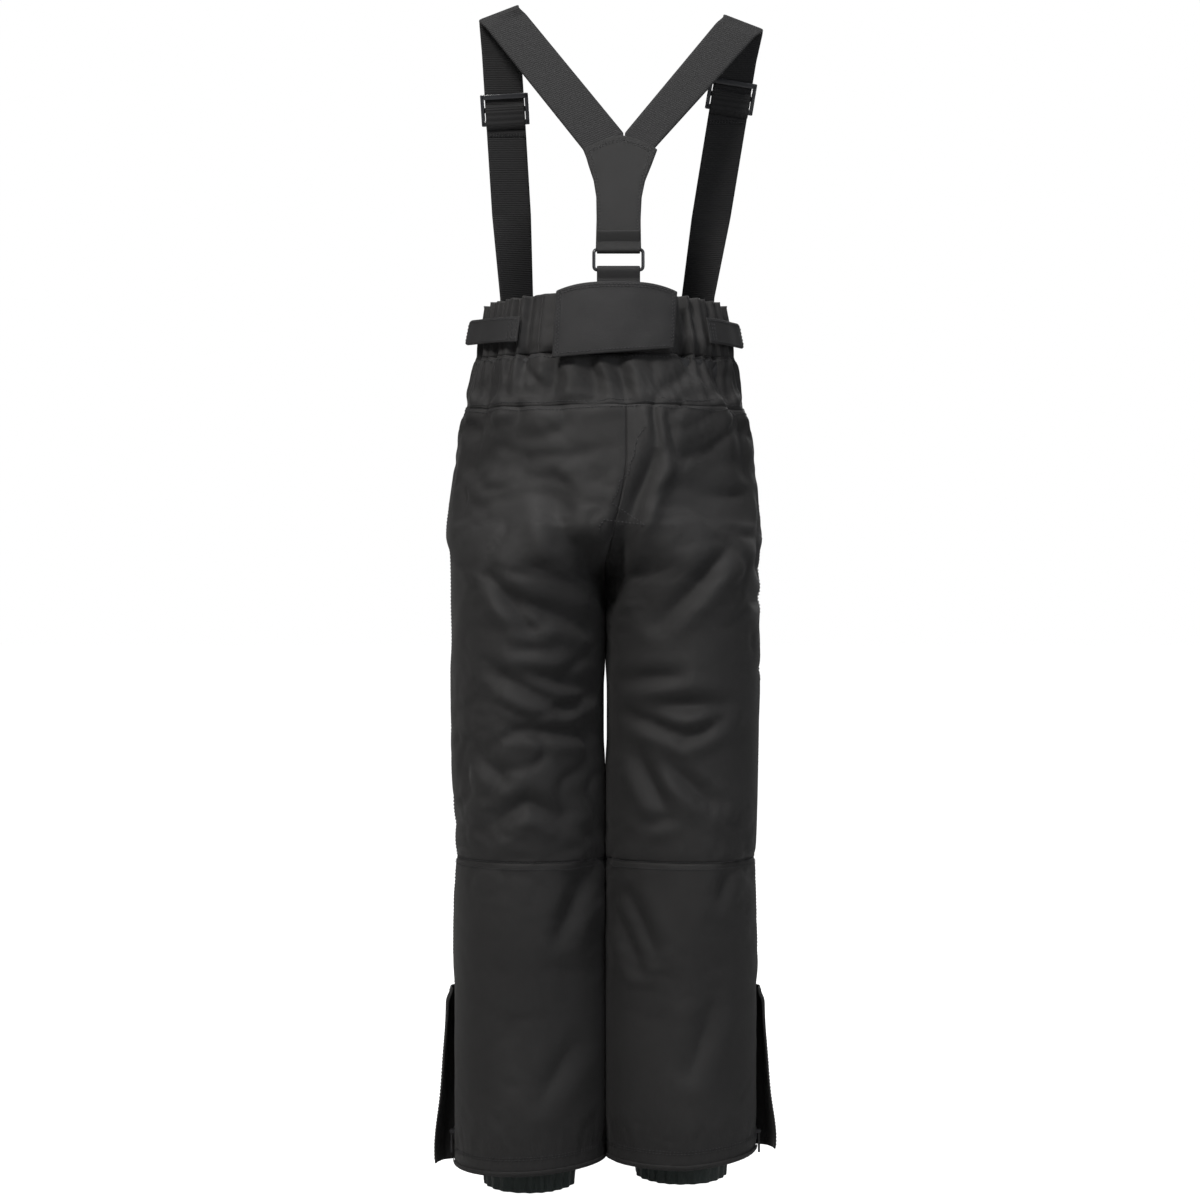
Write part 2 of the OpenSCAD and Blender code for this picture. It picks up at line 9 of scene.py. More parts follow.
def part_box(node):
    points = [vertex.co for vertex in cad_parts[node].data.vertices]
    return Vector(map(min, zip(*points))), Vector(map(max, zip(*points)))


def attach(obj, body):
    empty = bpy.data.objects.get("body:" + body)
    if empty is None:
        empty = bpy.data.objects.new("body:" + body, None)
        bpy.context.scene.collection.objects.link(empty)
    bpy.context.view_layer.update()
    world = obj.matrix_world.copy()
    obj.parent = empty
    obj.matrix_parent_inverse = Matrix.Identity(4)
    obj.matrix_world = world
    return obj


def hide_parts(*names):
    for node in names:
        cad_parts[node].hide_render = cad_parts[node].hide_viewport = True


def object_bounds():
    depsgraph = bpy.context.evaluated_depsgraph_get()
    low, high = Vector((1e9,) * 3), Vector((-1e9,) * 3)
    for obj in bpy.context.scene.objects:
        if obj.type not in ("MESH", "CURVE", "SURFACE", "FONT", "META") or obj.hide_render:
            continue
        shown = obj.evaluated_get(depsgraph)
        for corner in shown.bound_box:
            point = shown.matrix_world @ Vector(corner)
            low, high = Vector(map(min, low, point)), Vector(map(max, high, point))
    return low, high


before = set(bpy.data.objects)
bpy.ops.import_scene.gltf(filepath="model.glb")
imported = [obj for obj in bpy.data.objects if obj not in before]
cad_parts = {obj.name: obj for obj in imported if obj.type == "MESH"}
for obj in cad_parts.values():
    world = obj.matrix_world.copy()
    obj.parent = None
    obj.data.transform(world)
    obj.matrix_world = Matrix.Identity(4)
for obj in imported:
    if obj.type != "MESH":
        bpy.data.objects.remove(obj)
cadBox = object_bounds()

random.seed(11)
scene = bpy.context.scene
left, right = -1, 1
backward = Vector((0, -1, 0))
sideNames = {left: "left", right: "right"}


# Small helpers.

def mix(a, b, t):
    return a + (b - a) * t


def ease(x):
    x = min(1, max(0, x))
    return x * x * (3 - 2 * x)


# Straight lines between (x, value) pairs.
def lookUp(x, table):
    if x <= table[0][0]:
        return table[0][1]
    for (x0, y0), (x1, y1) in zip(table, table[1:]):
        if x <= x1:
            return mix(y0, y1, (x - x0) / (x1 - x0))
    return table[-1][1]


def low(node):
    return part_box(node)[0]


def high(node):
    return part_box(node)[1]


# The body's outline, as the frame's panels have it.
seam = {
    "hem": low("left_calf_back")[2],
    "knee": high("left_calf_back")[2],
    "crotch": high("left_leg_lining")[2] + 0.002,
    "yoke": low("back_yoke")[2],
    "top": high("back_waistband")[2],
}
hipZ = -0.160
joinHeight = 0.092
frontDrop = 0.014
ankleTop = seam["hem"] + 0.160
straightZ = ankleTop + 0.025
widths = [(seam["hem"], 0.143), (straightZ, 0.143), (seam["knee"], 0.1415), (seam["crotch"] - 0.018, 0.1495),
          (hipZ, 0.1475), (seam["yoke"], 0.135), (0, 0.125), (seam["top"], 0.114)]
depths = [(seam["hem"], 0.085), (straightZ, 0.085), (seam["knee"], 0.089), (hipZ, 0.107), (0.100, 0.0729)]
legGap = 0.001


def halfW(z):
    return (lookUp(z - 0.01, widths) + 2 * lookUp(z, widths) + lookUp(z + 0.01, widths)) / 4


def halfD(z):
    return lookUp(z, depths)


def legX(z):
    t = ease((z - seam["crotch"]) / joinHeight)
    return (1 - t) * (halfW(z) + legGap) / (2 - t)


# Right half: phi is 0 at the side, -90 at the back and 90 in front, in degrees.
def around(phi, z, out=0.0):
    a = math.radians(phi)
    return Vector((legX(z) + (halfW(z) - legX(z) + out) * math.cos(a), (halfD(z) + out) * math.sin(a), z))


def middlePhi(z, out=0.0):
    return math.degrees(math.acos(max(-1, min(1, -legX(z) / (halfW(z) - legX(z) + out)))))


def topZ(phi):
    return seam["top"] - frontDrop * (1 + math.sin(math.radians(phi))) / 2


# Materials.

def socket(group, name, kind, way, default=None):
    s = group.interface.new_socket(name=name, in_out=way, socket_type=kind)
    if default is not None:
        s.default_value = default
    return s


# A shader node: its settings, and what feeds its inputs, a constant or another node's output.
def newNode(tree, kind, feeds=None, **settings):
    n = tree.nodes.new(kind)
    for key, value in settings.items():
        setattr(n, key, value)
    for key, value in (feeds or {}).items():
        if isinstance(value, bpy.types.NodeSocket):
            tree.links.new(value, n.inputs[key])
        else:
            n.inputs[key].default_value = value
    return n


# Twill ribs, slubs and soft cloudy wear from a piece's own UV, in metres.
def weaveGroup():
    g = bpy.data.node_groups.new("clothWeave", "ShaderNodeTree")
    socket(g, "Ribs", "NodeSocketFloat", "INPUT", 900)
    socket(g, "Slubs", "NodeSocketFloat", "INPUT", 140)
    socket(g, "Height", "NodeSocketFloat", "OUTPUT")
    socket(g, "Cloud", "NodeSocketFloat", "OUTPUT")
    gin = newNode(g, "NodeGroupInput")
    uv = newNode(g, "ShaderNodeUVMap", uv_map="UVMap").outputs[0]
    turn = newNode(g, "ShaderNodeMapping", {"Rotation": (0, 0, math.radians(58)), "Vector": uv})
    twill = {"Distortion": 0.6, "Detail": 1, "Vector": turn.outputs[0], "Scale": gin.outputs["Ribs"]}
    ribs = newNode(g, "ShaderNodeTexWave", twill, wave_type="BANDS", bands_direction="X")
    slub = {"Detail": 4, "Roughness": 0.65, "Vector": uv, "Scale": gin.outputs["Slubs"]}
    slubs = newNode(g, "ShaderNodeTexNoise", slub)
    height = newNode(g, "ShaderNodeMath", {0: ribs.outputs["Fac"], 1: 0.45, 2: slubs.outputs["Fac"]},
                     operation="MULTIPLY_ADD")
    cloud = newNode(g, "ShaderNodeTexNoise", {"Scale": 9, "Detail": 5, "Vector": uv})
    spread = newNode(g, "ShaderNodeMapRange", {
        "From Min": 0.35, "From Max": 0.7, "Value": cloud.outputs["Fac"]})
    newNode(g, "NodeGroupOutput", {"Height": height.outputs[0], "Cloud": spread.outputs[0]})
    return g


clothWeave = weaveGroup()


def principled(name, roughness, **fixed):
    m = bpy.data.materials.new(name)
    m.use_nodes = True
    shader = m.node_tree.nodes["Principled BSDF"]
    shader.inputs["Roughness"].default_value = roughness
    for key, value in fixed.items():
        shader.inputs[key.replace("_", " ")].default_value = value
    return m, m.node_tree, shader


def colourMix(tree, mask, dark, light, target):
    blend = newNode(tree, "ShaderNodeMix", {0: mask}, data_type="RGBA")
    blend.inputs[6].default_value = (*dark, 1)
    blend.inputs[7].default_value = (*light, 1)
    tree.links.new(blend.outputs[2], target)


def bumpFrom(tree, height, shader, strength, distance):
    bump = newNode(tree, "ShaderNodeBump", {"Strength": strength, "Distance": distance, "Height": height})
    tree.links.new(bump.outputs[0], shader.inputs["Normal"])


def clothMaterial(name, dark, light, roughness, sheen, ribs=900, slubs=140, strength=0.35):
    m, tree, shader = principled(name, roughness, Sheen_Weight=sheen, Sheen_Roughness=0.45,
                                 Specular_IOR_Level=0.28)
    weave = newNode(tree, "ShaderNodeGroup", node_tree=clothWeave)
    weave.inputs["Ribs"].default_value = ribs
    weave.inputs["Slubs"].default_value = slubs
    colourMix(tree, weave.outputs["Cloud"], dark, light, shader.inputs["Base Color"])
    bumpFrom(tree, weave.outputs["Height"], shader, strength, 0.0004)
    return m


# Ribs across the elastic, on a fine grain; the colour darkens in the rib grooves as painted shade over the
# webbing's own grain.
def webbingMaterial():
    m, tree, shader = principled("ribbedWebbing", 0.72, Sheen_Weight=0.04, Specular_IOR_Level=0.3)
    uv = newNode(tree, "ShaderNodeUVMap", uv_map="UVMap").outputs[0]
    ribs = newNode(tree, "ShaderNodeTexWave", {"Scale": 150, "Distortion": 0.35, "Detail": 2, "Vector": uv},
                   wave_type="BANDS", bands_direction="Y")
    grain = newNode(tree, "ShaderNodeTexNoise", {"Scale": 900, "Vector": uv})
    total = newNode(tree, "ShaderNodeMath", {0: grain.outputs["Fac"], 1: 0.6, 2: ribs.outputs["Fac"]},
                    operation="MULTIPLY_ADD").outputs[0]
    # painted shade: the rib grooves are darker in colour, on top of the real grain variation
    colourMix(tree, total, (0.0045, 0.0045, 0.0050), (0.0130, 0.0130, 0.0140), shader.inputs["Base Color"])
    bumpFrom(tree, total, shader, 0.5, 0.0004)
    return m


# Moulded and enamelled parts: a fine grain on the piece's own coordinates.
def objectMaterial(name, dark, light, roughness, scale, strength, **fixed):
    m, tree, shader = principled(name, roughness, **fixed)
    place = newNode(tree, "ShaderNodeTexCoord").outputs["Object"]
    grain = newNode(tree, "ShaderNodeTexNoise", {"Scale": scale, "Detail": 4, "Vector": place}).outputs["Fac"]
    colourMix(tree, grain, dark, light, shader.inputs["Base Color"])
    bumpFrom(tree, grain, shader, strength, 0.0002)
    return m


# Lining quilted in diamonds: the stitched lines sink into the wadding, and the colour is darkened along them
# as painted shade.
def quiltMaterial():
    m, tree, shader = principled("quiltedLining", 0.5, Sheen_Weight=0.1, Specular_IOR_Level=0.4)
    uv = newNode(tree, "ShaderNodeUVMap", uv_map="UVMap").outputs[0]
    lines = []
    for angle in (45, -45):
        turn = newNode(tree, "ShaderNodeMapping", {"Rotation": (0, 0, math.radians(angle)), "Vector": uv})
        lines.append(newNode(tree, "ShaderNodeTexWave", {"Scale": 4.5, "Vector": turn.outputs[0]},
                             wave_type="BANDS", bands_direction="X").outputs["Fac"])
    both = newNode(tree, "ShaderNodeMath", dict(enumerate(lines)), operation="MINIMUM")
    soften = newNode(tree, "ShaderNodeMath", {0: both.outputs[0], 1: 0.35}, operation="POWER").outputs[0]
    # painted shade: the colour darkens along the sunk quilting lines
    colourMix(tree, soften, (0.008, 0.008, 0.009), (0.022, 0.022, 0.024), shader.inputs["Base Color"])
    bumpFrom(tree, soften, shader, 0.9, 0.004)
    return m


shellCloth = clothMaterial("paddedShell", (0.0145, 0.0140, 0.0143), (0.0210, 0.0205, 0.0208), 0.66, 0.05)
flapCloth = clothMaterial("shellFacing", (0.0155, 0.0153, 0.0162), (0.0205, 0.0202, 0.0212), 0.66, 0.05)
patchCloth = clothMaterial("shellPatch", (0.0105, 0.0105, 0.0108), (0.0165, 0.0165, 0.0170), 0.68, 0.04)
gaiterCloth = clothMaterial(
    "gaiterTaffeta", (0.015, 0.0225, 0.021), (0.03, 0.041, 0.039), 0.38, 0.03, 1500, 260)
innerCloth = clothMaterial("innerTaffeta", (0.008, 0.008, 0.009), (0.018, 0.018, 0.02), 0.48, 0.08, 1400, 240)
tapeCloth = clothMaterial("zipTape", (0.010, 0.010, 0.011), (0.020, 0.020, 0.022), 0.75, 0.08, 1100, 300)
labelCloth = clothMaterial("labelTape", (0.42, 0.42, 0.40), (0.55, 0.55, 0.53), 0.8, 0.1, 1300, 200)
pileCloth = clothMaterial("loopPile", (0.006, 0.006, 0.007), (0.022, 0.022, 0.024), 0.9, 0.35, 500, 900, 0.9)
webbing = webbingMaterial()
quilt = quiltMaterial()
glossPlastic = objectMaterial("mouldedAcetal", (0.018, 0.019, 0.022), (0.030, 0.031, 0.035), 0.28, 240, 0.08,
                              Coat_Weight=0.25, Coat_Roughness=0.2)
zipPlastic = objectMaterial("mouldedTeeth", (0.010, 0.010, 0.011), (0.022, 0.022, 0.024), 0.4, 600, 0.15)
enamel = objectMaterial("blackEnamel", (0.020, 0.020, 0.022), (0.045, 0.045, 0.048), 0.3, 900, 0.1,
                        Metallic=0.7)
thread = objectMaterial("sewingThread", (0.014, 0.014, 0.015), (0.034, 0.034, 0.037), 0.7, 2500, 0.3)

slots = {"shell_cloth": (shellCloth, flapCloth, patchCloth), "gaiter_cloth": (gaiterCloth,),
         "lining_cloth": (innerCloth, quilt), "loop_pile": (pileCloth,), "label_tape": (labelCloth,),
         "webbing": (webbing,), "zip_plastic": (tapeCloth, zipPlastic), "hardware_plastic": (glossPlastic,)}
slotOf = {material.name: slot for slot, group in slots.items() for material in group}


# Making pieces.

def mirrored(p, side):
    return Vector((p.x * side, p.y, p.z))


# A grid bent to place(u, v), with its UV in metres.
def gridMesh(cols, rows, place, width, length):
    bm = bmesh.new()
    layer = bm.loops.layers.uv.new("UVMap")
    bmesh.ops.create_grid(bm, x_segments=cols, y_segments=rows, size=0.5, calc_uvs=True)
    for v in bm.verts:
        v.co = place(v.co.x + 0.5, v.co.y + 0.5)
    for loop in (loop for f in bm.faces for loop in f.loops):
        loop[layer].uv = (loop[layer].uv.x * width, loop[layer].uv.y * length)
    return bm


# Makes the object, gives it its wall and rounding, and seats it in the frame.
def finish(name, bm, body, material, *nodes, slot=None, thickness=0, smooth=1, offset=-1, sharp=False):
    mesh = bpy.data.meshes.new(name)
    bm.to_mesh(mesh)
    bm.free()
    mesh.shade_smooth()
    piece = bpy.data.objects.new(name, mesh)
    scene.collection.objects.link(piece)
    mesh.materials.append(material)
    if thickness:
        wall = piece.modifiers.new("wall", "SOLIDIFY")
        wall.thickness = thickness
        wall.offset = offset
        if sharp:
            wall.edge_crease_outer = wall.edge_crease_inner = wall.edge_crease_rim = 1
    if smooth:
        rounding = piece.modifiers.new("rounding", "SUBSURF")
        rounding.levels = rounding.render_levels = smooth
    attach(piece, body)
    slot or slotOf[material.name]
    if nodes:
        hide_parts(*nodes)
    return piece


# Turns an open sheet so that its faces look away from a middle line along Z.
def outwardFrom(bm, middle=Vector((0, 0, 0))):
    bm.normal_update()
    total = 0.0
    for f in bm.faces:
        away = f.calc_center_median() - middle
        away.z = 0
        total += f.normal.dot(away) * f.calc_area()
    if total < 0:
        bmesh.ops.reverse_faces(bm, faces=bm.faces[:])


# Trousers: one welded cloth, folded, blown up and then cut into its panels.

trousers = {
    "cols": 118, "hemRows": 56, "thighRows": 84, "yokeRows": 11, "waistRows": 12,
    "seamDip": 0.0012, "wall": 0.0022, "foldDepth": 1.75, "deepest": 0.0080, "crumple": 0.0042,
    "pressure": 4.0, "grow": 0.028, "frames": 12, "cap": 0.0026,
    "seamShift": 0.019, "touch": 0.0030, "gapFoot": -0.388, "gapTop": -0.285, "gapHalf": 0.0013,
}


# A zip's line lies flat: 0 on the line, 1 well away from it.
def calm(co):
    gaps = [abs(co.y) + max(0, co.z - ankleTop - 0.01) if abs(co.x) > 0.1 else 1]
    if co.y > 0:
        gaps.append(abs(co.x) + max(0, -0.120 - co.z))
        gaps.append(abs(math.degrees(math.atan2(co.y / halfD(co.z), abs(co.x) / halfW(co.z))) - 15) * 0.0022
                    + max(0, co.z + 0.040, -0.126 - co.z))
    return ease((min(gaps) - 0.008) / 0.022)


# How far a hem stands above its level, round one leg.
def hemLift(phi, side):
    c = math.cos(math.radians(phi))
    return 0.010 + 0.005 * max(0, c) if side == right else 0.005 - 0.004 * c

# Folds in the cloth seen from the wearer's back: places in metres, depth and width.
backFolds = [
    ([(-.055, -.135), (-.040, -.175), (-.020, -.187), (0, -.225)], .0080, .012),
    ([(.030, -.095), (.016, -.135), (.002, -.228)], .0075, .012),
    ([(-.105, -.208), (-.066, -.257)], .0060, .009), ([(-.085, -.225), (-.020, -.252)], .0060, .009),
    ([(-.080, -.272), (-.050, -.275)], .0040, .007), ([(-.105, -.294), (-.041, -.324)], .0060, .009),
    ([(-.073, -.294), (-.017, -.309)], .0055, .008), ([(-.041, -.331), (-.008, -.314)], .0040, .007),
    ([(-.085, -.347), (-.017, -.351)], .0050, .008),
    ([(-.110, -.438), (-.072, -.413), (-.041, -.428)], .0055, .010),
    ([(-.017, -.478), (-.041, -.539)], .0050, .010), ([(-.120, -.370), (-.090, -.395)], .0035, .008),
    ([(.113, -.181), (.084, -.215), (.048, -.250)], .0060, .010),
    ([(.021, -.302), (.066, -.297)], .0050, .008),
    ([(.044, -.326), (.108, -.324)], .0060, .009), ([(.023, -.334), (.069, -.351)], .0055, .008),
    ([(.073, -.356), (.108, -.337)], .0050, .008), ([(.031, -.373), (.053, -.418)], .0055, .009),
    ([(.059, -.381), (.100, -.416)], .0055, .009), ([(.038, -.434), (.061, -.429)], .0035, .007),
    ([(.021, -.499), (.044, -.551)], .0050, .009), ([(.010, -.511), (.031, -.566)], .0050, .009),
    ([(.113, -.478), (.106, -.504)], .0035, .008),
    ([(.073, .007), (.088, -.021), (.100, -.035)], .0050, .007),
    ([(.088, 0), (.125, -.044)], .0050, .008), ([(-.045, -.004), (-.060, -.046)], .0045, .008),
    ([(-.014, -.004), (-.026, -.042)], .0045, .008), ([(.012, -.004), (0, -.042)], .0045, .008),
    ([(.100, -.004), (.128, -.053), (.133, -.108)], .0050, .010),
    ([(-.103, -.021), (-.114, -.044), (-.126, -.108)], .0050, .010),
    ([(.028, -.050), (.033, -.080)], .0035, .006), ([(.045, -.055), (.060, -.100)], .0030, .008),
    ([(-.030, -.640), (-.060, -.690)], .0030, .012), ([(.100, -.600), (.080, -.660)], .0030, .012),
]
frontFolds = [([(-x * 0.96, z - 0.012) for x, z in line], depth, width)
              for line, depth, width in backFolds[2:24]]
frontFolds += [([(side * .010, -.205), (side * .060, -.180), (side * .105, -.135)], .0070, .012)
               for side in (left, right)]


# How far the cloth moves out here: down in a fold's valley, up on its lower lip.
def foldPush(x, z, folds):
    push = 0.0
    here = Vector((x, z))
    for line, depth, width in folds:
        if abs(z - line[0][1]) > 0.14:
            continue
        best, signed, along = 9.0, 0.0, 0.0
        for n, (a, b) in enumerate(zip(line, line[1:])):
            a, b = Vector(a), Vector(b)
            span = b - a
            t = min(1, max(0, (here - a).dot(span) / span.length_squared))
            gap = here - (a + span * t)
            if gap.length < best:
                best = gap.length
                signed = gap.length * (1 if gap.y > 0 else -1)
                along = (n + t) / (len(line) - 1)
        if best < 4 * width:
            fade = math.sin(math.pi * min(1, max(0, 0.14 + 0.72 * along)))
            sharp = 0.75 * width
            valley = math.exp(-abs(signed) / sharp)
            lip = math.exp(-((signed + 1.5 * width) / width) ** 2)
            upper = math.exp(-((signed - 1.6 * width) / (1.2 * width)) ** 2)
            push += depth * fade * (0.50 * lip + 0.30 * upper - valley)
    return push


# The cloth sinks at each seam and swells between them.
def seamDip(phi, z):
    girth = math.radians(abs(phi)) * 0.11
    gaps = [abs(z - seam["knee"]), abs(z - seam["yoke"]) if phi < 0 else 1, abs(z) * 1.2, girth]
    if z > seam["crotch"]:
        gaps.append(abs(abs(phi) - middlePhi(z)) * 0.0018)
    nearest = min(gaps)
    return -trousers["seamDip"] * math.exp(-(nearest / 0.0035) ** 2)


# Elastic pulls the waist's sides into upright folds that run out below the seam.
def gather(phi, z):
    inside = ease((phi + 66) / 12) * ease((36 - phi) / 10)
    fall = ease((z + 0.055) / 0.06)
    wave = math.sin(phi * 0.48 + 1.3 * math.sin(phi * 0.13)) * 0.55 + math.sin(phi * 0.92 + 2) * 0.45 - 0.75
    tight = 0.0042 * inside * fall
    return wave * tight - 0.0015 * inside * math.exp(-((z - 0.004) / 0.006) ** 2)


def rowHeight(row):
    t = trousers
    marks = [(0, seam["hem"]), (t["hemRows"], seam["knee"]), (t["hemRows"] + t["thighRows"], seam["yoke"]),
             (t["hemRows"] + t["thighRows"] + t["yokeRows"], 0.0)]
    return lookUp(row, marks)


rowCount = sum(trousers[k] for k in ("hemRows", "thighRows", "yokeRows", "waistRows"))


def trouserPoint(u, v):
    row = v * rowCount
    waistRow = rowCount - trousers["waistRows"]
    z = rowHeight(min(row, waistRow))
    phi = mix(-1, 1, u) * middlePhi(z)
    if row > waistRow:
        z = mix(0, topZ(phi), (row - waistRow) / trousers["waistRows"])
        phi = mix(-90, 90, u)
    p = around(phi, z)
    p.x = max(p.x, 0)
    return p


# Which panel a face of the welded cloth belongs to.
def panelOf(centre, side):
    z = centre.z
    where = "back" if centre.y < 0 else "front"
    if z < seam["knee"]:
        return f"{sideNames[side]}_calf_{where}"
    if z < seam["yoke"] or (z < 0 and where == "front"):
        return f"{sideNames[side]}_thigh_{where}"
    if z < 0:
        return "back_yoke"
    turn = math.degrees(math.atan2(centre.y / halfD(z), abs(centre.x) / halfW(z)))
    if turn < -59.5:
        return "back_waistband"
    return f"{sideNames[side]}_waist_elastic" if turn < 30 else f"{sideNames[side]}_front_waistband"


def weldTrousers():
    bm = gridMesh(trousers["cols"], rowCount, trouserPoint, 0.46, seam["top"] - seam["hem"])
    outwardFrom(bm, Vector((0.07, 0, 0)))
    half = bm.verts[:] + bm.edges[:] + bm.faces[:]
    copied = bmesh.ops.duplicate(bm, geom=half)["geom"]
    bmesh.ops.scale(bm, vec=(-1, 1, 1), verts=[g for g in copied if isinstance(g, bmesh.types.BMVert)])
    bmesh.ops.reverse_faces(bm, faces=[g for g in copied if isinstance(g, bmesh.types.BMFace)])
    bmesh.ops.remove_doubles(bm, verts=bm.verts[:], dist=0.0003)
    bm.faces.ensure_lookup_table()
    names = []
    home = bm.verts.layers.float_vector.new("home")
    for v in bm.verts:
        v[home] = v.co
    bm.faces.ensure_lookup_table()
    tag = bm.faces.layers.int.new("panel")
    for f in bm.faces:
        c = f.calc_center_median()
        name = panelOf(c, right if c.x > 0 else left)
        if name not in names:
            names.append(name)
        f[tag] = names.index(name)
    return bm, names


def phiOf(co):
    z = co.z
    return math.degrees(math.atan2(co.y / halfD(z), (abs(co.x) - legX(z)) / (halfW(z) - legX(z))))


# Sharp little creases that run across the leg, and broad soft swellings.
def crumple(co):
    bend = 0.6 * noise.noise(Vector((co.x * 9, co.y * 9, co.z * 9)))
    here = Vector((co.x * 15 + bend, co.y * 15, co.z * 30 + bend))
    ridge = 1 - 3.4 * abs(noise.noise(here))
    finer = 1 - 3.4 * abs(noise.noise(here * 1.9 + Vector((7, 1, 3))))
    where = noise.noise(Vector((co.x * 8 + 3, co.y * 8, co.z * 6))) + 0.12
    other = noise.noise(Vector((co.x * 9, co.y * 9 + 8, co.z * 8))) + 0.15
    swell = noise.noise(Vector((co.x * 8, co.y * 8 + 4, co.z * 9)))
    sharp = max(0, ridge) ** 2 * max(0, where) + 0.7 * max(0, finer) ** 2 * max(0, other)
    quiet = 1 - 0.45 * ease((seam["knee"] - co.z) / 0.05)
    return (0.0026 * swell - trousers["crumple"] * 1.7 * sharp) * quiet


# Small upright puckers where a seam's thread draws the cloth up.
def pucker(co):
    near = math.exp(-((co.z - seam["yoke"]) / 0.012) ** 2) if co.y < 0 else 0
    near += 0.7 * math.exp(-((co.z - seam["knee"]) / 0.010) ** 2)
    if co.y < 0 and co.z > seam["crotch"]:
        near += 0.8 * math.exp(-(co.x / 0.010) ** 2)
    return 0.0011 * near * noise.noise(Vector((co.x * 95, co.y * 50, co.z * 80)))


def foldTrousers(bm):
    t = trousers
    bm.normal_update()
    home = bm.verts.layers.float_vector["home"]
    moves = []
    for v in bm.verts:
        co, n, start = v.co, v.normal, v[home]
        side = right if start.x > 0 else left
        phi = phiOf(start)
        facing = ease(abs(n.y) * 1.8)
        push = t["foldDepth"] * foldPush(co.x, co.z, backFolds if co.y < 0 else frontFolds) * facing
        push += crumple(start) * (1 if start.z < 0 else 0.3) + pucker(start)
        if push < 0:
            most = t["deepest"] * (1 if start.y < 0 else 0.6)
            push = -most * math.tanh(-push / most)
        loose = calm(start)
        move = n * (push * loose + seamDip(phi, start.z) + gather(phi, start.z))
        if start.y < 0:
            down = ease((start.z + 0.215) / 0.12) * ease(-start.z / 0.045)
            move.x += t["seamShift"] * down * math.exp(-(start.x / 0.06) ** 2)
        move.z += hemLift(phi, side) * ease((seam["hem"] + 0.10 - start.z) / 0.10)
        moves.append((v, start, side, move))
    for v, start, side, move in moves:
        v.co += move
        if start.z < seam["crotch"] + 0.004 and abs(start.x) < 0.045:
            near = ease(1 - abs(start.x) / 0.045)
            apart = ease((start.z - t["gapFoot"]) / 0.03) * ease((t["gapTop"] - start.z) / 0.03)
            v.co.x -= side * t["touch"] * near * (1 - apart)
            v.co.x = side * max(t["gapHalf"] * apart, side * v.co.x)


# Cloth simulation with air pressure: each point keeps within the cap of where it was.
def settle(bm, spec, pinned):
    mesh = bpy.data.meshes.new("settling")
    bm.to_mesh(mesh)
    cloth = bpy.data.objects.new("settling", mesh)
    scene.collection.objects.link(cloth)
    pins = cloth.vertex_groups.new(name="pins")
    for v in bm.verts:
        weight = pinned(v.co)
        if weight > 0:
            pins.add([v.index], weight, "REPLACE")
    sim = cloth.modifiers.new("cloth", "CLOTH")
    s = sim.settings
    s.quality = 5
    s.mass = 0.25
    s.tension_stiffness = s.compression_stiffness = 18
    s.shear_stiffness = 8
    s.bending_stiffness = 1.2
    s.tension_damping = s.compression_damping = 8
    s.use_pressure = True
    s.uniform_pressure_force = spec["pressure"]
    s.shrink_min = -spec["grow"]
    s.vertex_group_mass = "pins"
    s.pin_stiffness = 2
    s.effector_weights.gravity = 0
    sim.collision_settings.use_collision = False
    sim.point_cache.frame_start = 1
    sim.point_cache.frame_end = spec["frames"]
    for n in range(1, spec["frames"] + 1):
        scene.frame_set(n)
    graph = bpy.context.evaluated_depsgraph_get()
    home = bm.verts.layers.float_vector["home"]
    done = cloth.evaluated_get(graph).to_mesh()
    for v, after in zip(bm.verts, done.vertices):
        move = after.co - v.co
        if move.length > spec["cap"]:
            move *= spec["cap"] / move.length
        v.co += move * calm(v[home])
    scene.frame_set(1)
    bpy.data.objects.remove(cloth)


def pinTrousers(co):
    if co.z > -0.002:
        return 1.0
    return max(ease((co.z + 0.05) / 0.05), ease((seam["hem"] + 0.03 - co.z) / 0.03) * 0.8)


slits = {"ankle": 0.0046, "fly": 0.0046, "flyFoot": low("fly_zip")[2], "pocketHalf": 0.0052,
         "pocketMore": 0.0006}


# The panel's edge steps back where a zip's chain shows.
def openSlits(bm, name):
    home = bm.verts.layers.float_vector["home"]
    for v in bm.verts:
        if not v.is_boundary:
            continue
        start = v[home]
        if "calf" in name and start.z < ankleTop + 0.001 and abs(start.y) < 0.004 and abs(start.x) > 0.1:
            v.co.y = slits["ankle"] * (1 if "front" in name else -1)
        if "thigh_front" in name and abs(start.x) < 0.004 and slits["flyFoot"] < start.z < -0.003:
            v.co.x = slits["fly"] * (1 if "right" in name else -1)


print("trousers")
cloth, panelNames = weldTrousers()
settle(cloth, trousers, pinTrousers)
foldTrousers(cloth)
cloth.verts.ensure_lookup_table()
cloth.normal_update()
skinTree = BVHTree.FromBMesh(cloth)


# The nearest place on the finished cloth, lifted off it, with the cloth's normal.
def onSkin(point, lift=0.0):
    place, normal, _, _ = skinTree.find_nearest(point)
    return place + normal * lift, normal


pocket = {"phi": 15, "top": -0.046, "long": 0.074, "middle": -0.08}


# Top, foot, across and outward directions of a pocket zip, from the pocket's given angle and heights.
def pocketFrame(side):
    phi, z, middle = pocket["phi"], pocket["top"], pocket["middle"]
    top = around(phi, z)
    foot = around(phi, z - pocket["long"])
    up = (top - foot).normalized()
    turn = math.radians(phi)
    outward = Vector((math.cos(turn) / halfW(middle), math.sin(turn) / halfD(middle), 0))
    outward = (outward - up * outward.dot(up)).normalized()
    across = up.cross(outward)
    return [mirrored(p, side) for p in (top, foot, across, outward)]


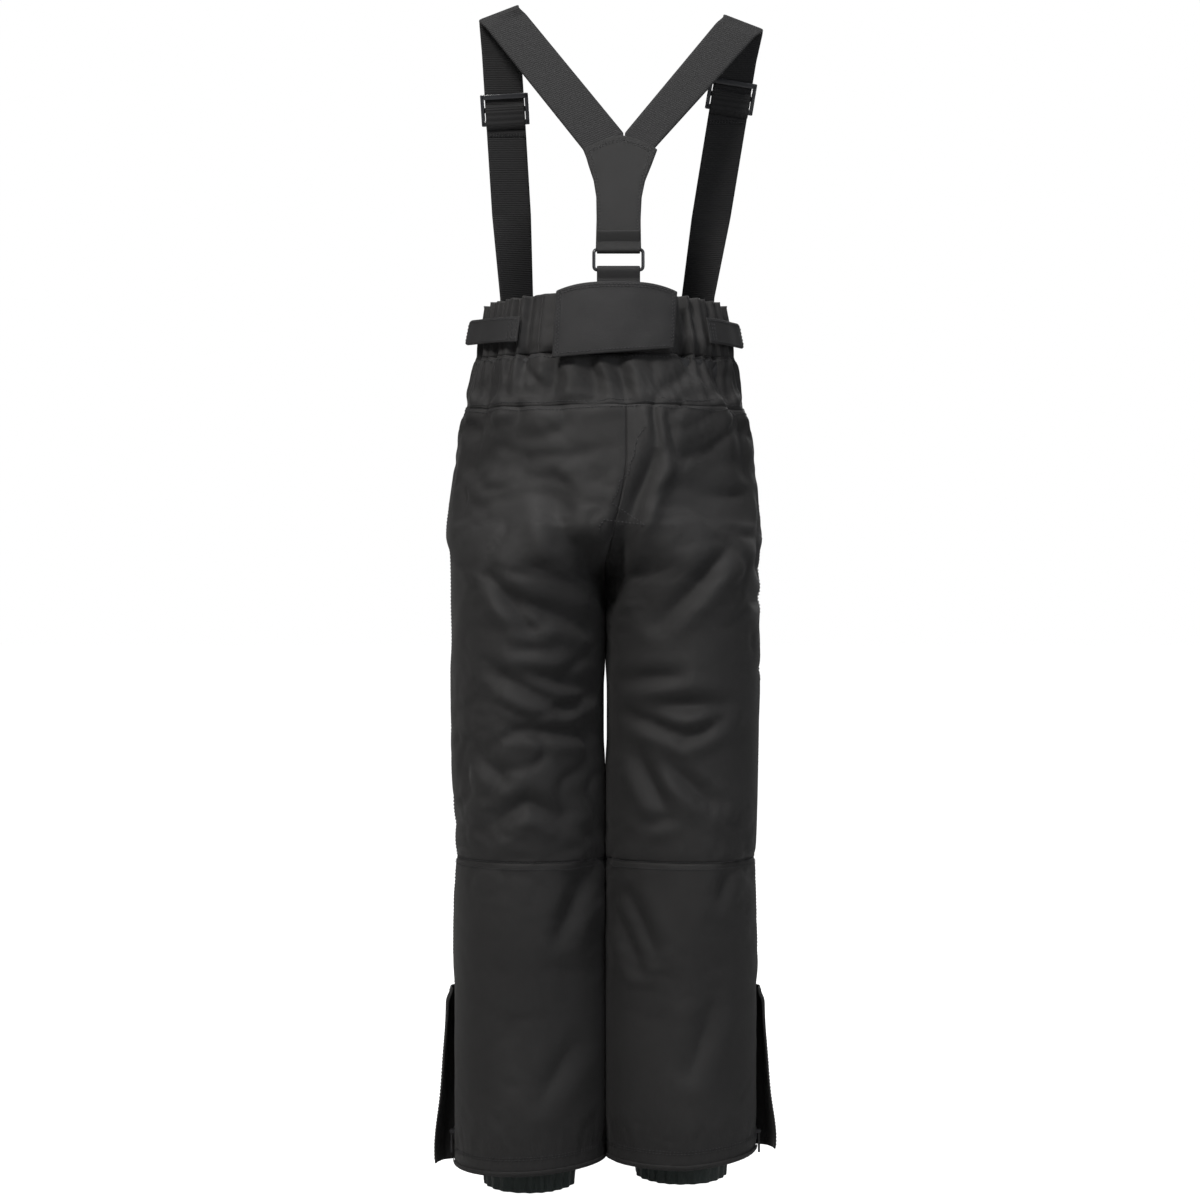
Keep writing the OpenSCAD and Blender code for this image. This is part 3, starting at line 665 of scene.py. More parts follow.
def cutPocket(bm, side):
    top, foot, across, outward = pocketFrame(side)
    middle, up = (top + foot) / 2, (top - foot).normalized()
    half, slit = (top - foot).length / 2 + slits["pocketMore"], slits["pocketHalf"]

    def away(f):
        return f.calc_center_median() - middle

    def near():
        return [f for f in bm.faces if away(f).length < half + 0.03 and f.normal.dot(outward) > 0.2]
    for axis, reach in ((up, half), (-up, half), (across, slit), (-across, slit)):
        geom = near()
        geom += list({e for f in geom for e in f.edges}) + list({v for f in geom for v in f.verts})
        bmesh.ops.bisect_plane(bm, geom=geom, dist=0.00001, plane_co=middle + axis * reach, plane_no=axis)
    inside = [f for f in near() if abs(away(f).dot(up)) < half and abs(away(f).dot(across)) < slit]
    bmesh.ops.delete(bm, geom=inside, context="FACES")


tag = cloth.faces.layers.int["panel"]
for number, name in enumerate(panelNames):
    part = cloth.copy()
    layer = part.faces.layers.int["panel"]
    bmesh.ops.delete(part, geom=[f for f in part.faces if f[layer] != number], context="FACES")
    part.normal_update()
    openSlits(part, name)
    if "thigh_front" in name:
        cutPocket(part, right if "right" in name else left)
    area = sum(f.calc_area() for f in part.faces)
    finish(name + "_cloth", part, "pants", shellCloth, name, thickness=trousers["wall"],
                          sharp=True)


# Lengths across and along a piece, from where its middle lines lie.
def girth(place, cols, rows):
    across = [place(n / cols, 0.5) for n in range(cols + 1)]
    along = [place(0.5, n / rows) for n in range(rows + 1)]
    return [sum((b - a).length for a, b in zip(line, line[1:])) for line in (across, along)]


# Turns an open sheet to face one direction.
def faceTo(bm, direction):
    bm.normal_update()
    if sum(f.normal.dot(direction) * f.calc_area() for f in bm.faces) < 0:
        bmesh.ops.reverse_faces(bm, faces=bm.faces[:])


# A sheet of cloth, bent to place(u, v).
def clothPiece(name, place, cols, rows, body, material, *nodes, thickness=0.0016, held="stretched",
               middle=Vector((0, 0, 0)), towards=None, smooth=1, offset=0, closed=False):
    width, length = girth(place, cols, rows)
    bm = gridMesh(cols, rows, place, width, length)
    if closed:
        bmesh.ops.remove_doubles(bm, verts=bm.verts[:], dist=0.0002)
    if towards is not None:
        faceTo(bm, towards)
    else:
        outwardFrom(bm, middle)
    area = sum(f.calc_area() for f in bm.faces)
    piece = finish(name, bm, body, material, *nodes, thickness=thickness, smooth=smooth, offset=offset)
    return piece


# Puts a shape given as angle, height and stand-off on one side of the body.
def onBody(side, shape):
    def place(u, v):
        return mirrored(around(*shape(u, v)), side)
    return place


# Thread showing along lines of points: one short rounded stitch after another.
def stitches(name, lines, body, slot="shell_cloth", spacing=0.0034, long=0.0024, thick=0.00042):
    bm = bmesh.new()
    for line in lines:
        line = [Vector(p) for p in line]
        spans = [(b - a).length for a, b in zip(line, line[1:])]
        for k in range(int(sum(spans) / spacing)):
            gone, n = (k + 0.5) * spacing, 0
            while n < len(spans) - 1 and gone > spans[n]:
                gone -= spans[n]
                n += 1
            a, b = line[n], line[n + 1]
            along = (b - a).normalized()
            turn = along.to_track_quat("X", "Z").to_matrix().to_4x4()
            size = Matrix.Diagonal((long / 2, thick, thick, 1))
            where = Matrix.Translation(a + along * gone)
            bmesh.ops.create_icosphere(bm, subdivisions=1, radius=1, matrix=where @ turn @ size)
    return finish(name, bm, body, thread, slot=slot, smooth=0)


# A line across a piece at given (u, v) points, lifted off its face.
def lineOn(place, points, lift, away):
    line = []
    for u, v in points:
        p = place(u, v)
        sideStep, upStep = place(u + 0.01, v) - place(u - 0.01, v), place(u, v + 0.01) - place(u, v - 0.01)
        n = sideStep.cross(upStep).normalized()
        line.append(p + n * (lift if n.dot(away) > 0 else -lift))
    return line


def ramp(a, b, n):
    return [mix(a, b, k / n) for k in range(n + 1)]


# Rows across a piece at each v and along it at each u, between the outer ones.
def crossed(us, vs, across, along):
    rows = [[(u, v) for u in ramp(us[0], us[-1], across)] for v in vs]
    return rows + [[(u, v) for v in ramp(vs[0], vs[-1], along)] for u in us]


def sewOn(name, place, lines, lift, away, body, **kept):
    stitches(name, [lineOn(place, line, lift, away) for line in lines], body, **kept)


# A rounded block from its size and place.
def block(bm, size, middle, bevel):
    before = set(bm.verts)
    bmesh.ops.create_cube(bm, size=1, matrix=Matrix.Translation(middle) @ Matrix.Diagonal((*size, 1)))
    new = [v for v in bm.verts if v not in before]
    edges = list({e for v in new for e in v.link_edges})
    bmesh.ops.bevel(bm, geom=edges, offset=bevel, segments=3, profile=0.5, affect="EDGES")


# Seams' stitching on the trousers.
print("stitching")


def skinLine(phis, zs, side, lift=0.0004):
    line = []
    for phi, z in zip(phis, zs):
        p = around(phi, z)
        line.append(onSkin(mirrored(p, side), lift)[0])
    return line


yokeLines = [skinLine(ramp(181, 359, 90), [seam["yoke"] + dz] * 91, right) for dz in (-0.0035, 0.0035)]
kneeLines = []
for side in (left, right):
    for dz in (-0.0030, 0.0030):
        kneeLines.append(skinLine(ramp(-176, 176, 130), [seam["knee"] + dz] * 131, side))
seatSeam = [onSkin(Vector((trousers["seamShift"] * ease((z + 0.215) / 0.12) + dx, -0.2, z)), 0.0004)[0]
            for dx in (0.0028,) for z in ramp(seam["yoke"] - 0.004, seam["crotch"] + 0.01, 40)]
flySeam = [onSkin(Vector((-0.030 * ease((z + 0.125) / 0.03), 0.2, z)), 0.0004)[0]
           for z in ramp(-0.004, -0.124, 40)]
waistLines = [skinLine(ramp(-90, 90, 60), [-0.003] * 61, side) for side in (left, right)]
stitches("seam_stitches", yokeLines + kneeLines + [seatSeam, flySeam] + waistLines, "pants")

sideLines = []
for side in (left, right):
    for a, b in ((seam["knee"] + 0.004, seam["yoke"] - 0.004), (seam["knee"] - 0.004, ankleTop + 0.004)):
        sideLines.append([onSkin(Vector((side * halfW(z), -0.0032, z)), 0.0004)[0] for z in ramp(a, b, 60)
                          if not -0.13 < z < -0.03])
stitches("side_stitches", sideLines, "pants")

# Hems: a turned-in band and a rolled edge under each leg.
print("hems and gaiters")
hem = {"cols": 110, "from": 4.5, "stitch": 0.013, "rows": 0.0022,
       "profile": [(0.022, -0.0046), (0.014, -0.0038), (0.006, -0.0034), (0.001, -0.0033), (-0.0012, -0.0026),
                   (-0.0022, -0.0012), (-0.0014, 0.0006), (0.0006, 0.0012), (0.0026, 0.0009)]}


def hemPlace(side):
    rows = len(hem["profile"]) - 1

    def place(u, v):
        phi = mix(hem["from"], 360 - hem["from"], u)
        k = min(rows - 1, int(v * rows))
        (z0, d0), (z1, d1) = hem["profile"][k], hem["profile"][k + 1]
        rise, depth = mix(z0, z1, v * rows - k), mix(d0, d1, v * rows - k)
        lift = hemLift(phi, side)
        p = around(phi, seam["hem"] + max(rise, 0.001) + lift)
        here, normal = onSkin(mirrored(p, side))
        normal = Vector((normal.x, normal.y, 0)).normalized()
        return Vector((*(here + normal * depth).xy, seam["hem"] + lift + rise))
    return place


legMiddle = {side: Vector((side * legX(seam["hem"]), 0, 0)) for side in sideNames}
for side, name in sideNames.items():
    clothPiece(name + "_hem_band", hemPlace(side), hem["cols"], 16, "pants", shellCloth, name + "_hem",
               thickness=0.0009, held="folded", middle=legMiddle[side])
    lines = []
    phis = ramp(7, 353, 120)
    for dz in (0, hem["rows"]):
        level = seam["hem"] + hem["stitch"] + dz
        lines.append(skinLine(phis, [level + hemLift(p, side) for p in phis], side))
    stitches(name + "_hem_stitches", lines, "pants")

# Gaiters: pleated tubes drawn in by elastic at the foot.
gaiter = {"shows": {left: 0.020, right: 0.012}, "tall": 0.092, "inset": 0.0134, "pleats": 23, "drawn": 0.26,
          "deep": 0.0019, "elastic": (0.0034, 0.001, 0.011, 0.0012)}


def gaiterPlace(side, inset, low, high, depth):
    bottom = seam["hem"] - gaiter["shows"][side]
    middle = legX(seam["hem"])
    a = halfW(seam["hem"]) - middle - gaiter["inset"]
    b = halfD(seam["hem"]) - gaiter["inset"]

    def place(u, v):
        turn = 2 * math.pi * u
        z = bottom + mix(low, high, v)
        shrink = 1 - gaiter["drawn"] * ease(1 - (z - bottom) / gaiter["tall"])
        wave = math.sin(gaiter["pleats"] * turn + 1.2 * math.sin(3 * turn)) * mix(0.5, 1, v)
        wave += 0.5 * noise.noise(Vector((math.cos(turn) * 4, math.sin(turn) * 4, z * 30)))
        out = depth * (wave - 0.2) - inset
        x = middle + (a * shrink + out) * math.cos(turn)
        return Vector((side * x, (b * shrink + out) * math.sin(turn), z))
    return place


for side, name in sideNames.items():
    tube = {"held": "gathered", "middle": legMiddle[side], "closed": True}
    clothPiece(name + "_gaiter_cloth", gaiterPlace(side, 0, 0, gaiter["tall"], gaiter["deep"]), 230, 22,
               "pants", gaiterCloth, name + "_gaiter", thickness=0.0008, **tube)
    clothPiece(name + "_gaiter_elastic", gaiterPlace(side, *gaiter["elastic"]), 180, 4, "pants", webbing,
               "gaiter_elastics", thickness=0.0010, **tube)

# Quilted linings inside the legs and the seat.
lining = {"inset": 0.0156, "top": 0.0068, "wall": 0.0008, "bagPhi": (8.5, 51.5), "bagZ": (-0.1495, -0.0405),
          "bagIn": 0.0116, "bagWave": 0.0007}


def legLiningPlace(side):
    def place(u, v):
        z = mix(seam["hem"] + 0.083, seam["crotch"] - 0.003, v)
        wave = 0.0016 * noise.noise(Vector((math.cos(u * 6.283) * 2, math.sin(u * 6.283) * 2, z * 22)))
        return mirrored(around(u * 360, z, -lining["inset"] + wave), side)
    return place


def seatLiningPlace(side):
    def place(u, v):
        z = mix(seam["crotch"] + 0.003, -0.004, v)
        reach = middlePhi(z, -lining["inset"])
        phi = mix(-reach, reach, u)
        inset = mix(lining["inset"], lining["top"], ease((z + 0.034) / 0.026) * ease((82 - phi) / 10))
        p = around(phi, z, -inset + 0.0012 * noise.noise(Vector((u * 9, z * 20, side))))
        return Vector((max(p.x, 0) * side, p.y, p.z))
    return place


def bagShape(u, v):
    wave = lining["bagWave"] * math.sin(u * 19 + v * 3) * math.sin(v * 14)
    return mix(*lining["bagPhi"], u), mix(*lining["bagZ"], v), -lining["bagIn"] + wave


for side, name in sideNames.items():
    clothPiece(name + "_leg_quilt", legLiningPlace(side), 72, 60, "pants", quilt, name + "_leg_lining",
               thickness=lining["wall"], middle=Vector((side * 0.072, 0, 0)), closed=True)
    clothPiece(name + "_seat_quilt", seatLiningPlace(side), 60, 30, "pants", quilt, "seat_lining",
               thickness=lining["wall"], middle=Vector((side * 0.05, 0, 0)))
    clothPiece(name + "_pocket_bag", onBody(side, bagShape), 26, 26, "pants", innerCloth, "pocket_bags",
               thickness=0.0014, held="hung")

# Zips: tape with two rows of moulded teeth, seen in the slits.
print("zips")
zipper = {"tape": 0.022, "depth": 0.0046, "pitch": 0.0026, "tooth": (0.0026, 0.0020, 0.0014)}


def zipPiece(name, body, node, top, foot, across, outward):
    length = (top - foot).length
    up = (top - foot).normalized()

    def place(u, v):
        x = (u - 0.5) * zipper["tape"]
        dip = -zipper["depth"] - 0.0016 * min(1, (abs(x) / 0.011) ** 2)
        return foot + up * (v * length) + across * x + outward * dip
    clothPiece(name + "_tape", place, 14, 40, body, tapeCloth, node, thickness=0.0009, towards=outward)
    bm = bmesh.new()
    turn = Matrix((across, outward, up)).transposed().to_4x4()
    for k in range(int((length - 0.004) / zipper["pitch"])):
        for row in (-1, 1):
            where = foot + up * (0.002 + (k + (0.25 if row > 0 else 0.75)) * zipper["pitch"])
            where += across * row * 0.0011 - outward * (zipper["depth"] - 0.0012)
            bmesh.ops.create_cube(bm, size=1, matrix=Matrix.Translation(where) @ turn
                                  @ Matrix.Diagonal((*zipper["tooth"], 1)))
    finish(name + "_teeth", bm, body, zipPlastic, smooth=0)


gusset = {"half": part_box("ankle_gussets")[1][1] - 0.0005, "top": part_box("ankle_gussets")[1][2],
          "x": 0.1334, "wave": 0.0006}
for side, name in sideNames.items():
    footZ = seam["hem"] + 0.001 + hemLift(0, side)
    sideways, legSide = Vector((side, 0, 0)), side * halfW(seam["hem"])
    zipPiece(name + "_ankle", "pants", name + "_ankle_zip", Vector((legSide, 0, ankleTop)),
             Vector((legSide, 0, footZ)), Vector((0, 1, 0)), sideways)
    zipPiece(name + "_pocket", "pants", name + "_pocket_zip", *pocketFrame(side))
    clothPiece(name + "_ankle_gusset", lambda u, v: Vector((
        side * (gusset["x"] - gusset["wave"] * math.cos(u * 25)), mix(-gusset["half"], gusset["half"], u),
        mix(footZ, gusset["top"], v))), 26, 24, "pants", gaiterCloth, "ankle_gussets", thickness=0.0007,
        held="folded", towards=sideways)

fly = {"top": -0.003, "guard": 0.0090, "wide": 0.032}
flyTop = Vector((0, halfD(fly["top"]), fly["top"]))
flyFoot = Vector((0, halfD(slits["flyFoot"]), slits["flyFoot"]))
flyRun = flyTop - flyFoot
rightward = Vector((1, 0, 0))
flyOut = flyRun.normalized().cross(rightward)
zipPiece("fly", "pants", "fly_zip", flyTop, flyFoot, rightward, flyOut)
clothPiece("fly_guard", lambda u, v: (
    flyFoot + flyRun * v - flyOut * fly["guard"] + rightward * (u - 0.5) * fly["wide"]),
    12, 30, "pants", gaiterCloth, "fly_facing", thickness=0.0008, towards=flyOut)

# Loop patches and the blank size label.
print("waist")
# Side, angles and heights of each patch.
patches = [(left, (-28, -10), (0.013, 0.032)), (right, (-28, -10), (0.013, 0.032)),
           (left, (37, 55), (0.008, 0.038)), (right, (37, 55), (0.008, 0.038)),
           (right, (262, 294), (0.004, 0.022))]
label = {"phi": (262, 284), "z": (0.022, 0.042), "in": 0.0062, "curl": 0.0004}
for n, (side, phis, zs) in enumerate(patches):
    clothPiece(f"loop_patch_{n + 1}", onBody(side, lambda u, v: (mix(*phis, u), mix(*zs, v), 0.0007)), 16, 10,
               "pants", pileCloth, "loop_patches", thickness=0.0008)
clothPiece("size_label_tape", onBody(right, lambda u, v: (
    mix(*label["phi"], u), mix(*label["z"], v), -label["in"] - label["curl"] * math.sin(u * 6))),
    14, 12, "pants", labelCloth, "size_label", thickness=0.0003)

# Back flap: a plain panel with stitched edges and two bowed corners.
flap = {"middle": 270 + math.degrees(math.asin(0.012 / 0.125)),
        "reach": math.degrees(math.asin(0.057 / 0.125)),
        "out": 0.0072, "wall": 0.0020, "top": 0.0648, "foot": (-0.0060, 0.0035),
        "droop": 0.0085, "narrow": 4.0, "hooksPhi": (264, 292), "hooksZ": (0.005, 0.021)}


def flapShape(u, v):
    side = 2 * u - 1
    z = mix(mix(*flap["foot"], u), flap["top"] - flap["droop"] * abs(side) ** 3, v)
    narrow = flap["narrow"] * (1 - v) * max(0, side)
    phi = flap["middle"] + side * (flap["reach"] - narrow)
    bow = 0.0008 * math.sin(math.pi * v) + 0.0016 * v * v * abs(side) ** 4
    ripple = 0.0007 * noise.noise(Vector((u * 5, v * 3, 2)))
    return phi, z, flap["out"] + bow + ripple


flapPlace = onBody(right, flapShape)
clothPiece("back_flap_cloth", flapPlace, 56, 30, "back_flap", flapCloth, "back_flap", thickness=flap["wall"])
edge = [(0.025, v) for v in ramp(0.04, 0.955, 20)] + [(u, 0.955) for u in ramp(0.025, 0.975, 30)]
edge += [(0.975, v) for v in ramp(0.955, 0.04, 20)]
inner = [(u * 0.965 + 0.0175, v * 0.945 + 0.02) for u, v in edge]
hinge = [(u, 0.05) for u in ramp(0.04, 0.96, 30)]
sewOn("back_flap_stitches", flapPlace, (edge, inner, hinge), 0.0013, backward, "back_flap")
clothPiece("back_flap_hooks", onBody(right, lambda u, v: (
    mix(*flap["hooksPhi"], u), mix(*flap["hooksZ"], v), flap["out"] - 0.0016)), 12, 6, "back_flap", pileCloth,
    thickness=0.0008)

# Ring: a rounded frame of moulded plastic.
print("ring and braces")
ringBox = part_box("back_ring")
ringLow, ringHigh = ringBox[0][2] + 0.0022, ringBox[1][2] - 0.0022
ringX, ringY = [(ringBox[0][k] + ringBox[1][k]) / 2 for k in (0, 1)]
ring = {"half": 0.0226, "corner": 0.0030, "step": 0.002, "sides": 14,
        "flat": (0.0017, 0.0016), "deep": (0.0017, 0.0023)}


def ringBody():
    bm = bmesh.new()
    corner, sides = ring["corner"], ring["sides"]
    reachX, reachZ = ring["half"] - corner, (ringHigh - ringLow) / 2 - corner
    path = []
    for cx, cz, start in ((1, 1, 0), (-1, 1, 90), (-1, -1, 180), (1, -1, 270)):
        for a in [math.radians(start + 15 * k) for k in range(7)]:
            path.append((cx * reachX + corner * math.cos(a), cz * reachZ + corner * math.sin(a), a))
    full = []
    for (x0, z0, a), (x1, z1, _) in zip(path, path[1:] + path[:1]):
        count = max(1, int(math.hypot(x1 - x0, z1 - z0) / ring["step"]))
        full += [(mix(x0, x1, k / count), mix(z0, z1, k / count), a) for k in range(count)]
    loops = []
    for x, z, a in full:
        rail = abs(math.cos(a)) ** 2
        flat, deep = mix(*ring["flat"], rail), mix(*ring["deep"], rail)
        loop = []
        for t in [2 * math.pi * k / sides for k in range(sides)]:
            out = flat * math.cos(t)
            loop.append(bm.verts.new((ringX + x + out * math.cos(a), ringY + deep * math.sin(t),
                                      (ringHigh + ringLow) / 2 + z + out * math.sin(a))))
        loops.append(loop)
    for one, two in zip(loops, loops[1:] + loops[:1]):
        for k in range(sides):
            bm.faces.new((one[k], one[(k + 1) % sides], two[(k + 1) % sides], two[k]))
    bmesh.ops.recalc_face_normals(bm, faces=bm.faces[:])
    return bm


finish("ring_frame", ringBody(), "ring", glossPlastic, "back_ring", smooth=1)


# The stretch of a path at a share v of its length: its number and how far along it.
def stretchAt(steps, v):
    gone, n = min(1, max(0, v)) * sum(steps), 0
    while n < len(steps) - 1 and gone > steps[n]:
        gone -= steps[n]
        n += 1
    return n, gone / steps[n]


# A band that follows a line of (y, z) points.
def bandPlace(points, half):
    steps = [math.dist(a, b) for a, b in zip(points, points[1:])]

    def place(u, v):
        n, t = stretchAt(steps, v)
        y, z = [mix(a, b, t) for a, b in zip(points[n], points[n + 1])]
        return Vector((ringX + (2 * u - 1) * half, y, z))
    return place


def backY(z, out):
    return -(halfD(0) - z * (halfD(0) - halfD(0.1)) / 0.1) - out


sleeveR = 0.0030
tabPath = [(backY(z, 0.0013), z) for z in ramp(0.030, ringLow - 0.008, 8)]
tabPath += [(ringY - sleeveR * math.cos(math.radians(a)), ringLow + sleeveR * math.sin(math.radians(a)))
            for a in range(-20, 201, 20)]
tabPath += [(ringY + 0.0010, ringLow - 0.006), (ringY + 0.0008, ringLow - 0.011)]
clothPiece("ring_tab", bandPlace(tabPath, 0.0200), 16, 44, "pants", flapCloth, "back_tab", thickness=0.0018,
           held="folded", towards=backward)

# Y patch: it folds round the ring's upper bar and spreads over the two braces.
yPatch = {"side": 0.192, "top": 0.206, "shoulder": 0.337, "bias": 0.0056,
          "outline": [(0, 0.0210), (0.30, 0.0205), (0.52, 0.0212), (0.68, 0.0240), (0.84, 0.0295),
                      (1, 0.0345)]}


def leanY(z):
    return ringY * (yPatch["shoulder"] - z) / (yPatch["shoulder"] - ringHigh)


def patchPlace(u, v):
    turn = 0.17
    if v < turn:
        t = v / turn
        if t < 0.45:
            z = mix(ringHigh + 0.018, ringHigh, t / 0.45)
            return Vector((ringX + (2 * u - 1) * 0.0198, ringY + 0.0006 + 0.0019 * (t / 0.45) ** 2, z))
        a = math.radians(mix(0, 180, (t - 0.45) / 0.55))
        return Vector((ringX + (2 * u - 1) * 0.0200, ringY + sleeveR * math.cos(a),
                       ringHigh - sleeveR * math.sin(a)))
    t = (v - turn) / (1 - turn)
    across = 2 * u - 1
    top = mix(yPatch["top"], yPatch["side"], abs(across) ** 1.6)
    z = mix(ringHigh, top, t)
    half = lookUp(t, yPatch["outline"])
    y = leanY(z) - 0.0008 - 0.0017 * max(0, 1 - t / 0.08) - 0.0006 * math.sin(math.pi * t) * (1 - across ** 2)
    return Vector((ringX + yPatch["bias"] * 0.4 * t * t + across * half, y, z))


clothPiece("y_patch_cloth", patchPlace, 30, 76, "braces", patchCloth, "y_patch", thickness=0.0018,
           held="folded", towards=backward)
patchLines = []
for inset in (0.035, 0.075):
    patchLines.append([(inset, v) for v in ramp(0.22, 0.975 - inset / 3, 40)]
                      + [(u, 0.975 - inset / 3) for u in ramp(inset, 1 - inset, 24)]
                      + [(1 - inset, v) for v in ramp(0.975 - inset / 3, 0.22, 40)])
patchLines += [[(u, v) for u in ramp(0.05, 0.95, 16)] for v in (0.235, 0.255)]
sewOn("y_patch_stitches", patchPlace, patchLines, 0.0010, backward, "braces")

# Braces: ribbed webbing from behind the patch, over the shoulder folds and down to the front tabs.
brace = {"half": 0.019, "wall": 0.0022, "foldR": 0.0035, "slant": 0.0073, "lap": 0.013, "frontPhi": 46.5,
         "frontOut": 0.0062, "frontLow": 0.064, "end": 0.018, "twist": math.radians(33),
         "shoulderX": {left: 0.101, right: 0.131}, "frontX": {left: 0.086, right: 0.090},
         "drop": {left: 0, right: 0.009}, "adjuster": {left: 0.242, right: 0.254},
         "loop": (0.004, 0.014, 0.026), "halfLoop": 0.0186}


def frontMid(side, z):
    return Vector((brace["frontX"][side], around(brace["frontPhi"], z, brace["frontOut"]).y, z))


def foldZ(side):
    return yPatch["shoulder"] - brace["drop"][side] - brace["slant"]


# The front run of a brace: where it leaves its shoulder fold and where it bends to the waist.
def frontRun(side):
    return Vector((brace["shoulderX"][side], brace["foldR"], foldZ(side))), frontMid(side, brace["frontLow"])


def bracePairs(side):
    b = brace
    half, lap = b["half"], 0.0019
    vIn = side * (ringX + yPatch["bias"]) + 0.0005
    vOut = side * ringX + 0.033
    xs, zf = b["shoulderX"][side], foldZ(side)

    def behind(x, z, amount):
        return Vector((x, leanY(z) + amount * lap, z))
    pairs = [(behind(vIn, yPatch["top"] - b["lap"], 1), behind(vOut - 0.005, yPatch["side"] - b["lap"], 1))]
    for t in (0, 0.2, 0.45, 0.7, 0.93):
        pairs.append((behind(mix(vIn, xs - half, t), mix(yPatch["top"] + 0.003, zf + b["slant"], t), 1 - t),
                      behind(mix(vOut, xs + half, t), mix(yPatch["side"], zf - b["slant"], t), 1 - t)))
    for a in (165, 135, 105, 75, 45, 15):
        turn = math.radians(a)
        y, z = b["foldR"] * math.cos(turn), zf - b["foldR"] * (1 - math.sin(turn))
        pairs.append((Vector((xs - half, y, z + b["slant"])), Vector((xs + half, y, z - b["slant"]))))
    for t in (0.14, 0.4, 0.7):
        c = mix(*frontRun(side), t)
        pairs.append((c - Vector((half, 0, 0)), c + Vector((half, 0, 0))))
    for z in (b["frontLow"], 0.040, b["end"]):
        c = frontMid(side, z)
        w = Vector((math.cos(b["twist"]), -math.sin(b["twist"]), 0)) * half
        pairs.append((c - w, c + w))
    return pairs


# A band that runs through pairs of edge points.
def pairsPlace(pairs, side):
    mids = [(a + b) / 2 for a, b in pairs]
    steps = [(b - a).length for a, b in zip(mids, mids[1:])]

    def place(u, v):
        n, t = stretchAt(steps, v)
        near, far = [mix(a, b, t) for a, b in zip(pairs[n], pairs[n + 1])]
        return mirrored(mix(near, far, u), side)
    return place


def strapMid(side, z):
    return mix(*frontRun(side), (foldZ(side) - z) / (foldZ(side) - brace["frontLow"]))


frontTab = {"phi": (37, 55), "z": (0.006, 0.044), "out": 0.0027, "curl": 0.0002}


def frontTabShape(u, v):
    out = frontTab["out"] + frontTab["curl"] * math.sin(u * 7)
    return mix(*frontTab["phi"], u), mix(*frontTab["z"], v), out


for side, name in sideNames.items():
    clothPiece(name + "_brace_webbing", pairsPlace(bracePairs(side), side), 10, 230, "braces", webbing,
               name + "_brace", thickness=brace["wall"], held="hung", towards=backward)
    doubled = [strapMid(side, brace["adjuster"][side] - below) + backward * 0.0015 for below in brace["loop"]]
    halfLoop = Vector((brace["halfLoop"], 0, 0))
    loopPlace = pairsPlace([(c - halfLoop, c + halfLoop) for c in doubled], side)
    clothPiece(name + "_brace_loop", loopPlace, 10, 12, "braces", webbing, thickness=0.0005, held="folded",
               towards=backward)
    sewOn(name + "_brace_stitches", loopPlace, [[(u, v) for u in ramp(0.04, 0.96, 14)] for v in (0.86, 0.93)],
          0.0006, backward, "braces", slot="webbing", spacing=0.0028)
    tabPlace = onBody(side, frontTabShape)
    clothPiece(name + "_brace_tab", tabPlace, 14, 14, "braces", flapCloth, "brace_tabs", thickness=0.0015)
    sewOn(name + "_tab_stitches", tabPlace, crossed((0.08, 0.92), (0.2, 0.8), 14, 12), 0.0010,
          Vector((side * 0.6, 0.8, 0)), "braces")

# Adjusters: three bars between two rails, rounded.
adjuster = {"wide": 0.046, "tall": 0.030, "bar": 0.0050, "thin": 0.0018, "clear": 0.0019, "rail": 0.0194,
            "wrapWide": 0.0378,
            "wrap": [(0.0004, 0.0048), (-0.0016, 0.0044), (-0.0046, 0.0032), (-0.0048, -0.0020),
                     (-0.0048, -0.0140), (-0.0040, -0.0165), (-0.0026, -0.0185)]}
for side, name in sideNames.items():
    down = (strapMid(side, 0.2) - strapMid(side, 0.1)).normalized()
    acrossAxis = (rightward - down * down.x).normalized()
    depthAxis = down.cross(acrossAxis)
    seat = Matrix((acrossAxis, depthAxis, down)).transposed().to_4x4()
    seat.translation = strapMid(side, brace["adjuster"][side])
    a = adjuster
    bm = bmesh.new()
    railSize = (a["wide"] / 2 - a["rail"], 2 * (a["clear"] + a["thin"]), a["tall"])
    for x in (-1, 1):
        block(bm, railSize, (x * (a["rail"] + a["wide"] / 2) / 2, 0, 0), 0.0010)
    for z in (-1, 0, 1):
        y = (1 if z == 0 else -1) * (a["clear"] + a["thin"] / 2)
        block(bm, (a["wide"] - 0.001, a["thin"], a["bar"]), (0, y, z * (a["tall"] - a["bar"]) / 2), 0.0007)
    bmesh.ops.transform(bm, matrix=seat, verts=bm.verts[:])
    if side == left:
        bmesh.ops.scale(bm, vec=(-1, 1, 1), verts=bm.verts[:])
        bmesh.ops.reverse_faces(bm, faces=bm.faces[:])

    def wrapPlace(u, v):
        path = adjuster["wrap"]
        k = min(len(path) - 2, int(v * (len(path) - 1)))
        y, z = [mix(m, n, v * (len(path) - 1) - k) for m, n in zip(path[k], path[k + 1])]
        return mirrored(seat @ Vector(((u - 0.5) * adjuster["wrapWide"], y, z)), side)
    clothPiece(name + "_adjuster_wrap", wrapPlace, 10, 24, name + "_adjuster", webbing, thickness=0.0011,
               held="folded", towards=backward)
    finish(name + "_adjuster_frame", bm, name + "_adjuster", glossPlastic, name + "_adjuster", smooth=0)

